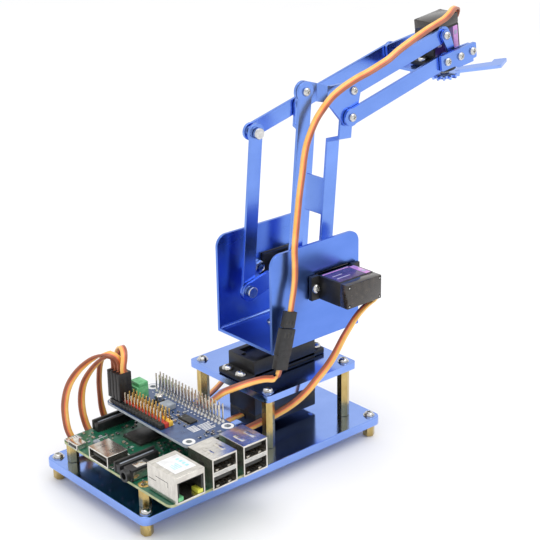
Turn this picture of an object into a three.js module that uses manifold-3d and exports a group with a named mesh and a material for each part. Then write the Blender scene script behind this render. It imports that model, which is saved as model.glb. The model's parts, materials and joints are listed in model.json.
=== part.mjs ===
// Desktop four-axis parallel-link robot arm on a base plate that also carries its computer.
// Millimetres, +Z up.  X runs from the computer end of the base to the reach of the arm, Y goes
// across the base.  Everything is laid out from the centre of the base plate, with z = 0 under
// the feet, and the finished group is shifted so that its own box is centred on the origin.
import * as THREE from 'three';
import { mergeVertices } from 'three/addons/utils/BufferGeometryUtils.js';
import Module from 'manifold-3d';

const wasm = await Module();
wasm.setup();

// ---------------------------------------------------------------- driving dimensions
const GAP = 0.3;                                   // running and seating gap between pieces
const SHEET = 1.5;                                 // folded aluminium sheet of the arm
const BASE = { x: 150, y: 80, t: 4.5, corner: 4, foot: 6.5, inset: 4.6 };
const BASE_TOP = BASE.foot + BASE.t;
const DECK = { x: 36.3, y: -0.8, size: 60, t: 3.5, corner: 2.5, top: 40.7, inset: 4.9 };
const WAIST = { x: 44.9, y: -2.35 };               // turning axis of the arm
const BOARD = { x0: -70.6, y1: 30.85, w: 56, l: 85, t: 1.4, top: 22.1 };
const HAT = { w: 30, l: 65, t: 1.4, top: 34.1 };   // servo driver board above the computer
const BRACKET = { back: 27.8, front: 29.7, width: 41.4, z0: 56.8, z1: 107.2, corner: 6 };
const SHOULDER = { x: 62, z: 85.1 };
const ARM = 80;                                    // shoulder to elbow
const REACH = 66.5;                                // elbow to wrist
const TAIL = 32.5;                                 // elbow to tail, and the crank that matches it
const LEAN = THREE.MathUtils.degToRad(5.4);        // the main arm leans forward at rest
const RISE = THREE.MathUtils.degToRad(14.5);       // the forearm rises forward at rest
const PITCH = THREE.MathUtils.degToRad(8);         // the gripper is set nose-up by this
const PLATE_A = { x: -26.3, z: 16.5 };             // elbow plate: lower levelling link, from elbow
const PLATE_B = { x: 2.6, z: 12.2 };               // elbow plate: upper levelling link, from elbow
const SPACER_STOP = 10.5;                          // cross spacer of the forearm, from the elbow
const BAR = 4;                                     // half width of the flat bars
const LOBE = 4.4;                                  // radius of their rounded ends
const HOLE = 1.75;                                 // M3 clearance
const LEAD_D = 2.2;                                // three-core servo lead
const MICRO_TAIL = 16.7;                           // micro servo case behind its output axis
const GRIP_TAIL = 13.4;                            // the same on the smaller gripper servo
const PLUG = { w: 7.6, t: 2.25, h: 14.2 };         // three-way plug on a 2.54 mm header

const elbow = { x: SHOULDER.x + ARM * Math.sin(LEAN), z: SHOULDER.z + ARM * Math.cos(LEAN) };
const along = (p, d, a) => ({ x: p.x + d * Math.cos(a), z: p.z + d * Math.sin(a) });
const wrist = along(elbow, REACH, RISE);
const tail = along(elbow, -TAIL, RISE);
const crankPin = along(SHOULDER, -TAIL, RISE);
const levelTop = { x: elbow.x + PLATE_A.x, z: elbow.z + PLATE_A.z };
const levelFoot = { x: SHOULDER.x + PLATE_A.x, z: SHOULDER.z + PLATE_A.z };
const upperRear = { x: elbow.x + PLATE_B.x, z: elbow.z + PLATE_B.z };

// Planes of the flat bars, as the low-y face of each, counted from the waist axis.
const LAYER = {
  nearOuter: -20.7, levelLink: -17.55, elbowPlate: -19.35, nearBar: -21.15, sideFlange: -22.95,
  legLow: 8.05, nearLeg: 16.05, farLeg: 14.65, crank: 10.35, rearLink: 12.15, farBar: 16.45,
};

// ---------------------------------------------------------------- materials
const paint = (color, roughness, metalness) => (
  new THREE.MeshStandardMaterial({ color, roughness, metalness })
);
const blue = () => paint(0x3f66d8, 0.32, 0.85);
const brass = () => paint(0xb99a55, 0.3, 1);
const steel = () => paint(0xc8c8c8, 0.25, 1);
const black = () => paint(0x17171a, 0.5, 0);
const smoke = () => paint(0x2a2522, 0.25, 0);
const green = () => paint(0x1d7a4c, 0.45, 0);
const boardBlue = () => paint(0x2f55a6, 0.45, 0);
const wire = () => paint(0xd07840, 0.5, 0);

// ---------------------------------------------------------------- solids
function solid(geometry) {
  const bare = geometry.clone();
  bare.deleteAttribute('normal');
  bare.deleteAttribute('uv');
  const merged = mergeVertices(bare, 1e-4);
  return new wasm.Manifold(new wasm.Mesh({
    numProp: 3,
    vertProperties: new Float32Array(merged.attributes.position.array),
    triVerts: new Uint32Array(merged.index.array),
  }));
}

function geometryOf(body) {
  const mesh = body.getMesh();
  const geometry = new THREE.BufferGeometry();
  geometry.setAttribute('position', new THREE.BufferAttribute(new Float32Array(mesh.vertProperties), 3));
  geometry.setIndex(new THREE.BufferAttribute(new Uint32Array(mesh.triVerts), 1));
  geometry.computeVertexNormals();
  return geometry;
}

const join = (first, ...rest) => geometryOf(rest.reduce((a, b) => a.add(solid(b)), solid(first)));
const cut = (first, ...rest) => geometryOf(rest.reduce((a, b) => a.subtract(solid(b)), solid(first)));
const common = (a, b) => geometryOf(solid(a).intersect(solid(b)));

function box(x0, x1, y0, y1, z0, z1) {
  const g = new THREE.BoxGeometry(x1 - x0, y1 - y0, z1 - z0);
  return g.translate((x0 + x1) / 2, (y0 + y1) / 2, (z0 + z1) / 2);
}

function rod(r, z0, z1, sides = 20) {              // upright round or hexagonal rod
  const g = new THREE.CylinderGeometry(r, r, z1 - z0, sides).rotateX(Math.PI / 2);
  return g.translate(0, 0, (z0 + z1) / 2);
}

function crossRod(r, y0, y1, sides = 20) {         // rod along Y
  return new THREE.CylinderGeometry(r, r, y1 - y0, sides).translate(0, (y0 + y1) / 2, 0);
}

function extrude(shape, depth, curveSegments = 6) {
  return new THREE.ExtrudeGeometry(shape, { depth, bevelEnabled: false, curveSegments });
}

// A shape drawn in X-Z becomes a plate whose low-y face is at y.
const upright = (shape, y, t = SHEET) => extrude(shape, t).rotateX(Math.PI / 2).translate(0, y + t, 0);

function roundedRect(x0, x1, y0, y1, r) {
  const s = new THREE.Shape();
  s.moveTo(x0 + r, y0);
  s.lineTo(x1 - r, y0);
  s.absarc(x1 - r, y0 + r, r, -Math.PI / 2, 0);
  s.lineTo(x1, y1 - r);
  s.absarc(x1 - r, y1 - r, r, 0, Math.PI / 2);
  s.lineTo(x0 + r, y1);
  s.absarc(x0 + r, y1 - r, r, Math.PI / 2, Math.PI);
  s.lineTo(x0, y0 + r);
  s.absarc(x0 + r, y0 + r, r, Math.PI, 1.5 * Math.PI);
  return s;
}

function roundHole(x, y, r) {
  return new THREE.Path().absarc(x, y, r, 0, 2 * Math.PI, true);
}

// Flat bar from (0, 0) to (length, 0) with a round lobe at each end and a hole at each stop.
function barShape(length, half, lobe0, lobe1, holes) {
  const a0 = Math.asin(half / lobe0);
  const a1 = Math.asin(half / lobe1);
  const s = new THREE.Shape();
  s.absarc(0, 0, lobe0, a0, 2 * Math.PI - a0);
  s.absarc(length, 0, lobe1, a1 - Math.PI, Math.PI - a1);
  s.closePath();
  s.holes = holes.map(([x, r]) => roundHole(x, 0, r));
  return s;
}

const group = new THREE.Group();

function add(name, geometry, material, x = 0, y = 0, z = 0, turnY = 0) {
  const mesh = new THREE.Mesh(geometry, material);
  mesh.name = name;
  mesh.position.set(x, y, z);
  mesh.rotation.y = turnY;
  group.add(mesh);
  return mesh;
}

// ---------------------------------------------------------------- base and deck
function base() {
  const plate = roundedRect(-BASE.x / 2, BASE.x / 2, -BASE.y / 2, BASE.y / 2, BASE.corner);
  add('base_plate', extrude(plate, BASE.t), blue(), 0, 0, BASE.foot);
  let n = 0;
  for (const sx of [-1, 1]) {
    for (const sy of [-1, 1]) {
      n += 1;
      const x = sx * (BASE.x / 2 - BASE.inset);
      const y = sy * (BASE.y / 2 - BASE.inset);
      add(`foot_${n}`, rod(3, 0, BASE.foot - GAP, 6), brass(), x, y);
      const half = DECK.size / 2 - DECK.inset;
      const length = DECK.top - DECK.t - BASE_TOP;
      const post = rod(3.1, GAP, length - GAP, 6);
      add(`deck_standoff_${n}`, post, brass(), DECK.x + sx * half, DECK.y + sy * half, BASE_TOP);
    }
  }
  const half = DECK.size / 2;
  const deck = roundedRect(DECK.x - half, DECK.x + half, DECK.y - half, DECK.y + half, DECK.corner);
  const cx = WAIST.x - 10.2;
  deck.holes = [roundedRect(cx - 20.9, cx + 20.9, WAIST.y - 10.4, WAIST.y + 10.4, 1)];
  add('deck_plate', extrude(deck, DECK.t), blue(), 0, 0, DECK.top - DECK.t);
}

// ---------------------------------------------------------------- servos
function standardServo() {                          // output axis on Z, flange standing on z = 0
  return join(
    box(-30.55, 10.15, -9.85, 9.85, -27.2, 9.5),
    extrude(roundedRect(-37.45, 17.05, -9.85, 9.85, 1.5), 2.5),
    rod(6.8, 9, 10.5, 24),
    rod(2.9, 10, 11.6, 16),
  );
}

// Output axis on Z, flange face at z = 0; tail is how far the case runs behind the axis.
function microServo(tailX = MICRO_TAIL) {
  return join(
    box(-tailX, 6.1, -6.1, 6.1, -22.3, 4.2),
    box(-tailX - 4.7, 10.8, -6.1, 6.1, -2.5, 0),
    rod(5.9, 3, 7, 20),
    box(-8.6, 0, -2.6, 2.6, 3, 7),
    rod(2.4, 6, 8.8, 12),
  );
}

function servos() {
  add('waist_servo', standardServo(), black(), WAIST.x, WAIST.y, DECK.top + GAP);
  const horn = join(rod(4.5, 0, 2.3), rod(10.5, 2, 3.6, 32));
  add('waist_horn', horn, black(), WAIST.x, WAIST.y, DECK.top + GAP + 11.9);

  const half = BRACKET.width / 2 + GAP;
  const near = add('shoulder_servo', microServo(), smoke(), SHOULDER.x, WAIST.y - half, SHOULDER.z);
  near.rotation.x = -Math.PI / 2;
  const far = add('elbow_servo', microServo(), smoke(), SHOULDER.x, WAIST.y + half, SHOULDER.z);
  far.rotation.x = Math.PI / 2;
  const disc = crossRod(7, -11.85, -9.85, 24);
  add('shoulder_horn', disc, steel(), SHOULDER.x, WAIST.y, SHOULDER.z);
}

// ---------------------------------------------------------------- computer and driver board
function socketShell(w, depth, h, ports) {          // metal shell open towards -Y, one box per port
  const outer = box(-w / 2, w / 2, 0, depth, 0, h);
  const bays = ports.map(([z0, z1]) => box(-w / 2 + 0.7, w / 2 - 0.7, -1, depth - 2.5, z0, z1));
  return cut(outer, ...bays);
}

function pinBlock(columns, rows, baseH, pinH, skip = 0) {
  const pitch = 2.54;
  const w = rows * pitch;
  const l = columns * pitch;
  let body = solid(box(-w / 2, w / 2, -l / 2, l / 2, 0, baseH));
  for (let i = skip; i < columns; i += 1) {
    for (let j = 0; j < rows; j += 1) {
      const x = (j + 0.5) * pitch - w / 2;
      const y = l / 2 - (i + 0.5) * pitch;
      body = body.add(solid(box(x - 0.32, x + 0.32, y - 0.32, y + 0.32, baseH - 0.5, pinH)));
    }
  }
  return geometryOf(body);
}

function electronics() {
  const x0 = BOARD.x0;
  const y1 = BOARD.y1;
  const board = roundedRect(0, BOARD.w, -BOARD.l, 0, 3);
  const spots = [[3.5, -3.5], [52.5, -3.5], [3.5, -61.5], [52.5, -61.5]];
  board.holes = spots.map(([x, y]) => roundHole(x, y, 1.4));
  add('computer_board', extrude(board, BOARD.t), green(), x0, y1, BOARD.top - BOARD.t);
  spots.forEach(([x, y], i) => {
    const post = rod(2.9, BASE_TOP + GAP, BOARD.top - BOARD.t - GAP, 6);
    add(`board_standoff_${i + 1}`, post, brass(), x0 + x, y1 + y);
  });
  const z = BOARD.top + GAP;
  const end = y1 - BOARD.l;                         // the USB and network end
  const usb = [[0.8, 6.6], [8.9, 14.7]];
  add('usb_socket_1', socketShell(14.2, 17.5, 15.6, usb), steel(), x0 + 29, end - 3, z);
  add('usb_socket_2', socketShell(14.2, 17.5, 15.6, usb), steel(), x0 + 47, end - 3, z);
  add('network_socket', socketShell(16, 21, 13.3, [[1, 10.5]]), steel(), x0 + 10.25, end - 2, z);
  const video = socketShell(15.2, 11.5, 6.2, [[0.8, 5.4]]).rotateZ(-Math.PI / 2);
  add('video_socket', video, steel(), x0 - 1, y1 - 32, z);
  add('stacking_header', box(-2.5, 2.5, -25.4, 25.4, 0, 10), black(), x0 + 52.5, y1 - 32.5, z);

  const hat = roundedRect(BOARD.w - HAT.w, BOARD.w, -HAT.l, 0, 3);
  const corners = [[29.5, -3.5], [52.5, -3.5], [29.5, -61.5], [52.5, -61.5]];
  hat.holes = corners.map(([x, y]) => roundHole(x, y, 1.4));
  add('driver_board', extrude(hat, HAT.t), boardBlue(), x0, y1, HAT.top - HAT.t);
  const top = HAT.top + GAP;
  add('pin_header', pinBlock(20, 2, 2.5, 9.5), steel(), x0 + 52.5, y1 - 32.5, top);
  add('servo_header', pinBlock(16, 3, 2.5, 8.8, 4), black(), x0 + 30.5, y1 - 23.5, top);
  add('terminal_block', box(-3.4, 3.4, -3.6, 3.6, 0, 8.5), green(), x0 + 40.6, y1 - 8, top);
}

// ---------------------------------------------------------------- turret bracket
function bracket() {
  const x0 = WAIST.x - BRACKET.back;
  const x1 = WAIST.x + BRACKET.front;
  const half = BRACKET.width / 2;
  const r = BRACKET.corner;
  const side = new THREE.Shape();
  side.moveTo(x0, BRACKET.z0);
  side.lineTo(x1, BRACKET.z0);
  side.lineTo(x1, BRACKET.z1 - r);
  side.absarc(x1 - r, BRACKET.z1 - r, r, 0, Math.PI / 2);
  side.lineTo(x0 + r, BRACKET.z1);
  side.absarc(x0 + r, BRACKET.z1 - r, r, Math.PI / 2, Math.PI);
  side.closePath();
  const sx = SHOULDER.x;
  const sz = SHOULDER.z;
  const rear = -MICRO_TAIL - 0.4;
  const window = new THREE.Path([[rear, -6.5], [rear, 6.5], [6.5, 6.5], [6.5, -6.5]]
    .map(([x, z]) => new THREE.Vector2(sx + x, sz + z)));
  side.holes = [window];
  const floor = box(x0, x1, -half, half, BRACKET.z0, BRACKET.z0 + SHEET);
  const walls = join(floor, upright(side, -half), upright(side, half - SHEET));
  add('turret_bracket', walls, blue(), 0, WAIST.y, 0);
}

// ---------------------------------------------------------------- arm
function mainArm() {
  const outline = barShape(ARM, BAR, 5.6, LOBE, [[0, 1.6], [ARM, HOLE]]);
  const block = upright(outline, -25, 50).rotateY(-Math.PI / 2);
  const step = 67.3;                                // height of the outward step of the upper legs
  const low = LAYER.legLow;
  const band = (s) => {                             // folded strip seen from the side, y to z
    const high = s < 0 ? LAYER.nearLeg : LAYER.farLeg;
    const points = [[low, -10], [low, step + 0.5], [high, step + 3.2], [high, ARM + 10],
      [high + SHEET, ARM + 10], [high + SHEET, step + 1.7], [low + SHEET, step - 1], [low + SHEET, -10]];
    const ring = points.map(([y, z]) => new THREE.Vector2(s * y, z));
    const strip = new THREE.Shape(s > 0 ? ring : ring.reverse());
    return extrude(strip, 20).rotateX(Math.PI / 2).rotateZ(Math.PI / 2).translate(-10, 0, 0);
  };
  const web = box(-BAR, -BAR + SHEET, -low - SHEET / 2, low + SHEET / 2, 29.5, 47.7);
  const legs = [-1, 1].map((s) => common(block, band(s)));
  add('main_arm', join(web, ...legs), blue(), SHOULDER.x, WAIST.y, SHOULDER.z, LEAN);
}

function bars() {
  const y = WAIST.y;
  const crank = barShape(TAIL, 4.6, 6.4, 5, [[TAIL, HOLE]]);
  const backward = Math.PI - RISE;                  // the crank points to the tail end
  add('crank_lever', upright(crank, 0), blue(), SHOULDER.x, y + LAYER.crank, SHOULDER.z, backward);
  const link = () => barShape(ARM, BAR - 0.2, LOBE + 0.4, LOBE + 0.4, [[0, HOLE], [ARM, HOLE]]);
  const up = LEAN - Math.PI / 2;
  add('rear_link', upright(link(), 0), blue(), crankPin.x, y + LAYER.rearLink, crankPin.z, up);
  add('lower_level_link', upright(link(), 0), blue(), levelFoot.x, y + LAYER.levelLink, levelFoot.z, up);
  const near = barShape(REACH, BAR, LOBE, LOBE, [[0, HOLE], [REACH, HOLE]]);
  add('forearm_near_bar', upright(near, 0), blue(), elbow.x, y + LAYER.nearBar, elbow.z, -RISE);
  const far = barShape(TAIL + REACH, BAR, LOBE, LOBE, [[TAIL, HOLE], [TAIL + REACH, HOLE]]);
  add('forearm_far_bar', upright(far, 0), blue(), tail.x, y + LAYER.farBar, tail.z, -RISE);
  const upper = barShape(REACH, BAR - 0.2, LOBE, LOBE, [[0, HOLE], [REACH, HOLE]]);
  add('upper_level_link', upright(upper, 0), blue(), upperRear.x, y + LAYER.levelLink, upperRear.z, -RISE);
  const at = along(elbow, SPACER_STOP, RISE);
  const spacer = crossRod(1.5, LAYER.nearBar + SHEET + GAP, LAYER.farBar - GAP, 16);
  add('forearm_spacer', spacer, steel(), at.x, y, at.z);
  const pin = join(crossRod(2.8, LAYER.crank - 2.1, LAYER.crank - GAP), crossRod(1.4, LAYER.crank - 1, 15));
  add('crank_pin', pin, steel(), crankPin.x, y, crankPin.z);
  const rear = LAYER.rearLink;
  const pivot = join(
    crossRod(2.8, rear - 2.4, rear - GAP),
    crossRod(1.4, rear - 1, LAYER.farBar - GAP),
    crossRod(2.4, rear + SHEET + GAP, LAYER.farBar - GAP),
  );
  add('tail_pivot', pivot, steel(), tail.x, y, tail.z);
}

// Three-lobed plate that keeps the gripper level; its rear lobe is stepped inwards.
function elbowPlate() {
  const r = 4.9;
  const s = new THREE.Shape();
  s.absarc(0, 0, r, -0.8 * Math.PI, 0.05 * Math.PI);
  s.absarc(PLATE_B.x, PLATE_B.z, r, -0.08 * Math.PI, 0.55 * Math.PI);
  s.lineTo(-12, 17);
  s.absarc(PLATE_A.x, PLATE_A.z, r, 0.35 * Math.PI, 1.35 * Math.PI);
  s.lineTo(-14.6, 9.4);
  s.closePath();
  s.holes = [[PLATE_A.x, PLATE_A.z], [PLATE_B.x, PLATE_B.z], [0, 0]].map(([x, z]) => roundHole(x, z, HOLE));
  const out = LAYER.elbowPlate;
  const inn = out + 3.6;
  const strip = new THREE.Shape([[-40, inn], [-17.9, inn], [-14.5, out], [20, out], [20, out + SHEET],
    [-14.1, out + SHEET], [-17.5, inn + SHEET], [-40, inn + SHEET]].map(([x, y]) => new THREE.Vector2(x, y)));
  const plate = common(upright(s, -30, 30), extrude(strip, 60).translate(0, 0, -20));
  add('elbow_plate', plate, blue(), elbow.x, WAIST.y, elbow.z);
}

// ---------------------------------------------------------------- gripper
const JAW_Z = -12.85;                               // top face of the jaws below the wrist
const JAW_T = 1.7;
const JAW_X = 14.2;                                 // jaw pivots ahead of the wrist
const JAW_Y = 7;                                    // half the distance between the jaw pivots

function jawShape(side) {                           // gear about the pivot and a bent finger
  const teeth = 14;
  const pitch = (2 * Math.PI) / teeth;
  const first = side < 0 ? Math.PI / 2 : -Math.PI / 2 + pitch / 2;
  const gear = new THREE.Shape();
  for (let i = 0; i < teeth; i += 1) {
    for (const [f, r] of [[-0.3, 5.75], [-0.13, 7.8], [0.13, 7.8], [0.3, 5.75]]) {
      const a = first + (i + f) * pitch;
      const p = [r * Math.cos(a), r * Math.sin(a)];
      if (i === 0 && f === -0.3) gear.moveTo(...p);
      else gear.lineTo(...p);
    }
  }
  gear.closePath();
  const finger = new THREE.Shape([[1, 1.2], [4, 1.6], [21.4, 16.8], [23.2, 18], [32.4, 13.9],
    [32.6, 12.9], [28.3, 8.9], [24.6, 10.4], [16.1, 3.9], [4.5, -3]]
    .map(([x, y]) => new THREE.Vector2(x, side * y)));
  return [gear, finger];
}

function gripper() {
  const hand = new THREE.Group();
  hand.position.set(wrist.x, WAIST.y, wrist.z);
  hand.rotation.y = -PITCH;
  group.add(hand);
  const put = (name, geometry, material, x = 0, y = 0, z = 0) => {
    const mesh = new THREE.Mesh(geometry, material);
    mesh.name = name;
    mesh.position.set(x, y, z);
    hand.add(mesh);
    return mesh;
  };
  const flangeY = LAYER.sideFlange;
  const farY = LAYER.farBar - GAP - SHEET;
  const floor = [-5.5, -4];
  const nearSide = roundedRect(-4.4, 21.6, -4, 4, 1);
  nearSide.holes = [roundHole(0, 0, HOLE), roundHole(9.6, 0, 1.3), roundHole(18.6, 0, 1.3)];
  const farSide = roundedRect(-4.4, 21.6, -4, 4, 1);
  farSide.holes = [roundHole(0, 0, HOLE)];
  const frame = join(
    box(-8.5, 27, -15.5, 13.6, ...floor),
    box(8, 19, flangeY, -15, ...floor),
    box(8, 19, 13, farY + SHEET, ...floor),
    box(8, 19, flangeY, flangeY + SHEET, -5.5, -3),
    box(8, 19, farY, farY + SHEET, -5.5, -3),
    upright(nearSide, flangeY),
    upright(farSide, farY),
    rod(2.6, JAW_Z + GAP, -5, 16).translate(JAW_X, JAW_Y, 0),
  );
  const well = box(JAW_X - GRIP_TAIL - 0.4, JAW_X + 6.5, -JAW_Y - 6.5, -JAW_Y + 6.5, -8, 0);
  put('gripper_frame', cut(frame, well), blue());

  const ear = new THREE.Shape();
  const wx = PLATE_B.x * Math.cos(PITCH) + PLATE_B.z * Math.sin(PITCH);
  const wz = PLATE_B.z * Math.cos(PITCH) - PLATE_B.x * Math.sin(PITCH);
  ear.absarc(wx, wz, 3, 0.06 * Math.PI, 1.05 * Math.PI);
  ear.lineTo(4.8, 3.6);
  ear.lineTo(6.4, -3);
  ear.lineTo(21, -3);
  ear.lineTo(21, 3);
  ear.lineTo(9.6, 3.6);
  ear.closePath();
  ear.holes = [roundHole(wx, wz, 1.4), roundHole(9.6, 0, 1.3), roundHole(18.6, 0, 1.3)];
  put('wrist_ear', upright(ear, LAYER.elbowPlate), blue());

  const servo = put('gripper_servo', microServo(GRIP_TAIL), smoke(), JAW_X, -JAW_Y, -4 + GAP);
  servo.rotation.x = Math.PI;
  for (const [name, side] of [['drive_jaw', -1], ['driven_jaw', 1]]) {
    const [gear, finger] = jawShape(side);
    const lever = join(extrude(gear, JAW_T), extrude(finger, JAW_T));
    put(name, lever, blue(), JAW_X, side * JAW_Y, JAW_Z - JAW_T);
  }
}

// ---------------------------------------------------------------- servo leads and their plugs
// Hand-set routes, from the servo or plug to the far end of each stretch.
const ROUTES = {
  gripper_lead_wrist: [[153.3, -9.2, 196.8], [155.4, -9.3, 197.6], [156.8, -9.7, 199.8],
    [156.2, -10.8, 202.8], [153.4, -12.4, 204.2], [149.2, -14.2, 204.2], [144.6, -16.4, 203],
    [139.4, -17.9, 201.4], [132.8, -18.9, 200], [125, -19.9, 198.4], [116.6, -21.2, 196.4],
    [108.2, -22.6, 194.4], [100.2, -23.6, 192], [93.2, -24.2, 189.2], [86.6, -24.6, 187.4],
    [79.8, -24.8, 185.6], [69.5, -25.2, 183.4], [63, -25.4, 181.4]],
  gripper_lead_arm: [[62.5, -25.42, 181.2], [59.6, -25.4, 180.2], [54.2, -25.2, 177.4],
    [49.2, -25.2, 173.4], [45.4, -24.8, 169.2], [42.2, -24.2, 163.4], [39.8, -23.7, 157.4],
    [38.3, -23.6, 151.6], [37.2, -23.6, 145], [36, -23.7, 139.4], [34.6, -23.9, 133],
    [33.2, -24.4, 126.4], [31.8, -25, 120.2], [30.4, -25.6, 114]],
  gripper_lead_bracket: [[30.2, -25.7, 113.4], [29.2, -26.2, 108.2], [29, -26.6, 102], [28.6, -26.9, 95.4],
    [27.6, -27.2, 89.4], [26.2, -27.4, 83.8], [25.2, -27.4, 79.2]],
  extension_lead: [[15.9, -29, 50.8], [14.6, -29.2, 48.9], [11.2, -29.5, 48.6], [6.4, -30, 50.2],
    [1.2, -30.2, 51.2], [-3.8, -29, 51], [-8.4, -26.4, 49.6], [-12.2, -21.6, 46.6],
    [-12.6, -14, 40], [-11.8, -5, 32],
    [-11.6, 3.4, 24.4], [-13.4, 10.8, 17.4], [-19.6, 18, 13.8], [-28.4, 25, 13.2], [-36, 30.4, 13.8],
    [-40.6, 34.8, 18.2], [-42.6, 36.6, 26.4], [-43.4, 36.8, 36.4], [-43.4, 36.4, 45],
    [-43, 34.8, 53], [-42, 32, 58], [-41, 29.3, 58.9], [-40.3, 27.9, 56.6],
    [-40.1, 27.8, 53]],
  shoulder_lead: [[68.4, -38, 84.2], [70.6, -38, 83.6], [72.2, -38.4, 81.2], [71.2, -39.4, 78.2],
    [67.4, -40.8, 76.9], [62.4, -42, 76.4], [57.8, -42.4, 74.6], [53.4, -42.6, 71.8],
    [49.6, -42.6, 68.2], [46.2, -42, 63.8], [43.6, -41, 58.8], [41.2, -39.8, 53.8], [38.2, -38, 48.6],
    [34, -36, 43.2], [29.8, -34.4, 38.4], [25.4, -31.6, 33.4], [19.8, -27, 28], [12, -20, 22],
    [2, -12.8, 16.6], [-8, -5, 13.6], [-20, 4.6, 13.2], [-31, 14, 13.2], [-40.6, 23.2, 13.2],
    [-48, 30, 13.8], [-52.2, 34, 18.4], [-53.8, 36.4, 26.4], [-54.2, 36.8, 36.4],
    [-53, 35.4, 45], [-50, 32.2, 52.4], [-46, 28.6, 57.6], [-42.8, 26.2, 58.6],
    [-40.8, 25.3, 56.4], [-40.1, 25.26, 53]],
  waist_lead: [[12.6, -2.4, 18.6], [6, -2.6, 18.6], [-2, -3.2, 18], [-10, -4.2, 17.6], [-18, -4.6, 15],
    [-26, 0, 13.4], [-36, 8.4, 13.2], [-47, 18.4, 13.2], [-56, 27, 13.4], [-60.6, 32.6, 15.4],
    [-63, 35.8, 21], [-64, 36.8, 30], [-63.6, 36.6, 38.6], [-61.4, 34.8, 47.6], [-56.6, 31.4, 55.4],
    [-50.4, 27.4, 60.4], [-45, 24.2, 61.2], [-41.8, 22.9, 58.8], [-40.4, 22.7, 56], [-40.1, 22.72, 53]],
  elbow_lead: [[68.4, 34.3, 84.2], [70.8, 34.3, 83.4], [72.4, 34.6, 80.2], [72, 35.4, 75],
    [69.6, 36.2, 66], [64, 36.6, 52], [54, 36, 38], [42, 35, 26], [30, 33.8, 18], [18, 32, 14.2],
    [4, 30, 13.3], [-9, 30, 13.3], [-18.6, 33.4, 14], [-25.4, 36.2, 18.2], [-29, 37.2, 27],
    [-31, 37, 38], [-33, 35.4, 48.6], [-34.6, 31.6, 57.4], [-36, 26.8, 61.6], [-37.6, 22.6, 61],
    [-39.2, 20.4, 57.8], [-40.1, 20.1, 54.6], [-40.1, 20.18, 53]],
};

function lead(name) {
  const points = ROUTES[name].map((p) => new THREE.Vector3(...p));
  const curve = new THREE.CatmullRomCurve3(points, false, 'centripetal');
  const steps = Math.min(80, Math.ceil(curve.getLength() / 4.4));
  const section = new THREE.Shape();
  for (let i = 0; i < 8; i += 1) {
    const a = (i + 0.5) * (Math.PI / 4);
    section[i ? 'lineTo' : 'moveTo']((LEAD_D / 2) * Math.cos(a), (LEAD_D / 2) * Math.sin(a));
  }
  section.closePath();
  add(name, new THREE.ExtrudeGeometry(section, { steps, bevelEnabled: false, extrudePath: curve }), wire());
}

function leads() {
  Object.keys(ROUTES).forEach(lead);
  const rows = [0, 1, 2, 3].map((i) => 27.8 - 2.54 * i);  // extension, shoulder, waist, elbow
  rows.forEach((y, i) => {
    const body = box(-PLUG.w / 2, PLUG.w / 2, -PLUG.t / 2, PLUG.t / 2, 0, PLUG.h);
    add(`header_plug_${i + 1}`, body, black(), -40.1, y, HAT.top + GAP + 2.8);
  });
  // The gripper lead is joined to its extension by a hanging plug and socket.
  const pair = new THREE.Group();
  pair.position.set(24.9, -27.4, 78.8);
  pair.rotation.set(-0.06, 0.31, 0);
  group.add(pair);
  const pieces = { lead_socket: [3.6, 1.35, -8, 0], extension_plug: [4.2, 1.7, -28.6, -8 - GAP] };
  for (const [name, [hx, hy, z0, z1]] of Object.entries(pieces)) {
    const mesh = new THREE.Mesh(box(-hx, hx, -hy, hy, z0, z1), black());
    mesh.name = name;
    pair.add(mesh);
  }
}

base();
servos();
electronics();
bracket();
mainArm();
bars();
elbowPlate();
gripper();
leads();

// ---------------------------------------------------------------- origin
const onLeads = (name) => name in ROUTES || /^(header_plug_|lead_socket|extension_plug)/.test(name);
group.updateMatrixWorld(true);
const bounds = new THREE.Box3();
group.traverse((o) => {
  if (o.isMesh && !onLeads(o.name)) bounds.expandByObject(o, true);
});
const centre = bounds.getCenter(new THREE.Vector3());
group.position.set(-centre.x, -centre.y, -bounds.min.z);
group.updateMatrixWorld(true);

export default group;
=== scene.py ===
"""Looks of the desktop parallel-link robot arm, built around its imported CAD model.

Lengths below are millimetres measured from the centre of the base plate, z = 0 under the feet.
V() and TO_FRAME turn them into metres in the frame of the model. -Y is the near side, and +X is
the side that the arm reaches out to.
"""
import json
import math
import random

import bmesh
import bpy
from mathutils import Matrix, Vector


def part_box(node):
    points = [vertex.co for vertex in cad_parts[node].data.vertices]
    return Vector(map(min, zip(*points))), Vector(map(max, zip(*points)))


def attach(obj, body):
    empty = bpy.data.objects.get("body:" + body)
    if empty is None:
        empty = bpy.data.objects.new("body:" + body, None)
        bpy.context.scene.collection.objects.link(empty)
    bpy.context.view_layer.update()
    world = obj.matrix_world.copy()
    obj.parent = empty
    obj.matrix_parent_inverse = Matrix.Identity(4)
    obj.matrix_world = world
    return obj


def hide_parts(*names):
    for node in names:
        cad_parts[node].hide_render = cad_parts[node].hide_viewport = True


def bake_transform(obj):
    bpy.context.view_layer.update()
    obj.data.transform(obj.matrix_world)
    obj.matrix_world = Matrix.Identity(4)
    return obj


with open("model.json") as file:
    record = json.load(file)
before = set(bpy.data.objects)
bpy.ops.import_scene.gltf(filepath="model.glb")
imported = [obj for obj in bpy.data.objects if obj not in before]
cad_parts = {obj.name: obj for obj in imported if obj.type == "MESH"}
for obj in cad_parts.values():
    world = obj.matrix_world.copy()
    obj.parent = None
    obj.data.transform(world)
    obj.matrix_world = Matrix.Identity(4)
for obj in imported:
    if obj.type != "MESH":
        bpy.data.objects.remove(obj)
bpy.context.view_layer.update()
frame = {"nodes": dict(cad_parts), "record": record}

MM = 0.001
plate_low, plate_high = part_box("base_plate")
ORIGIN = Vector(((plate_low.x + plate_high.x) / 2, (plate_low.y + plate_high.y) / 2, 0.0))
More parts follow.
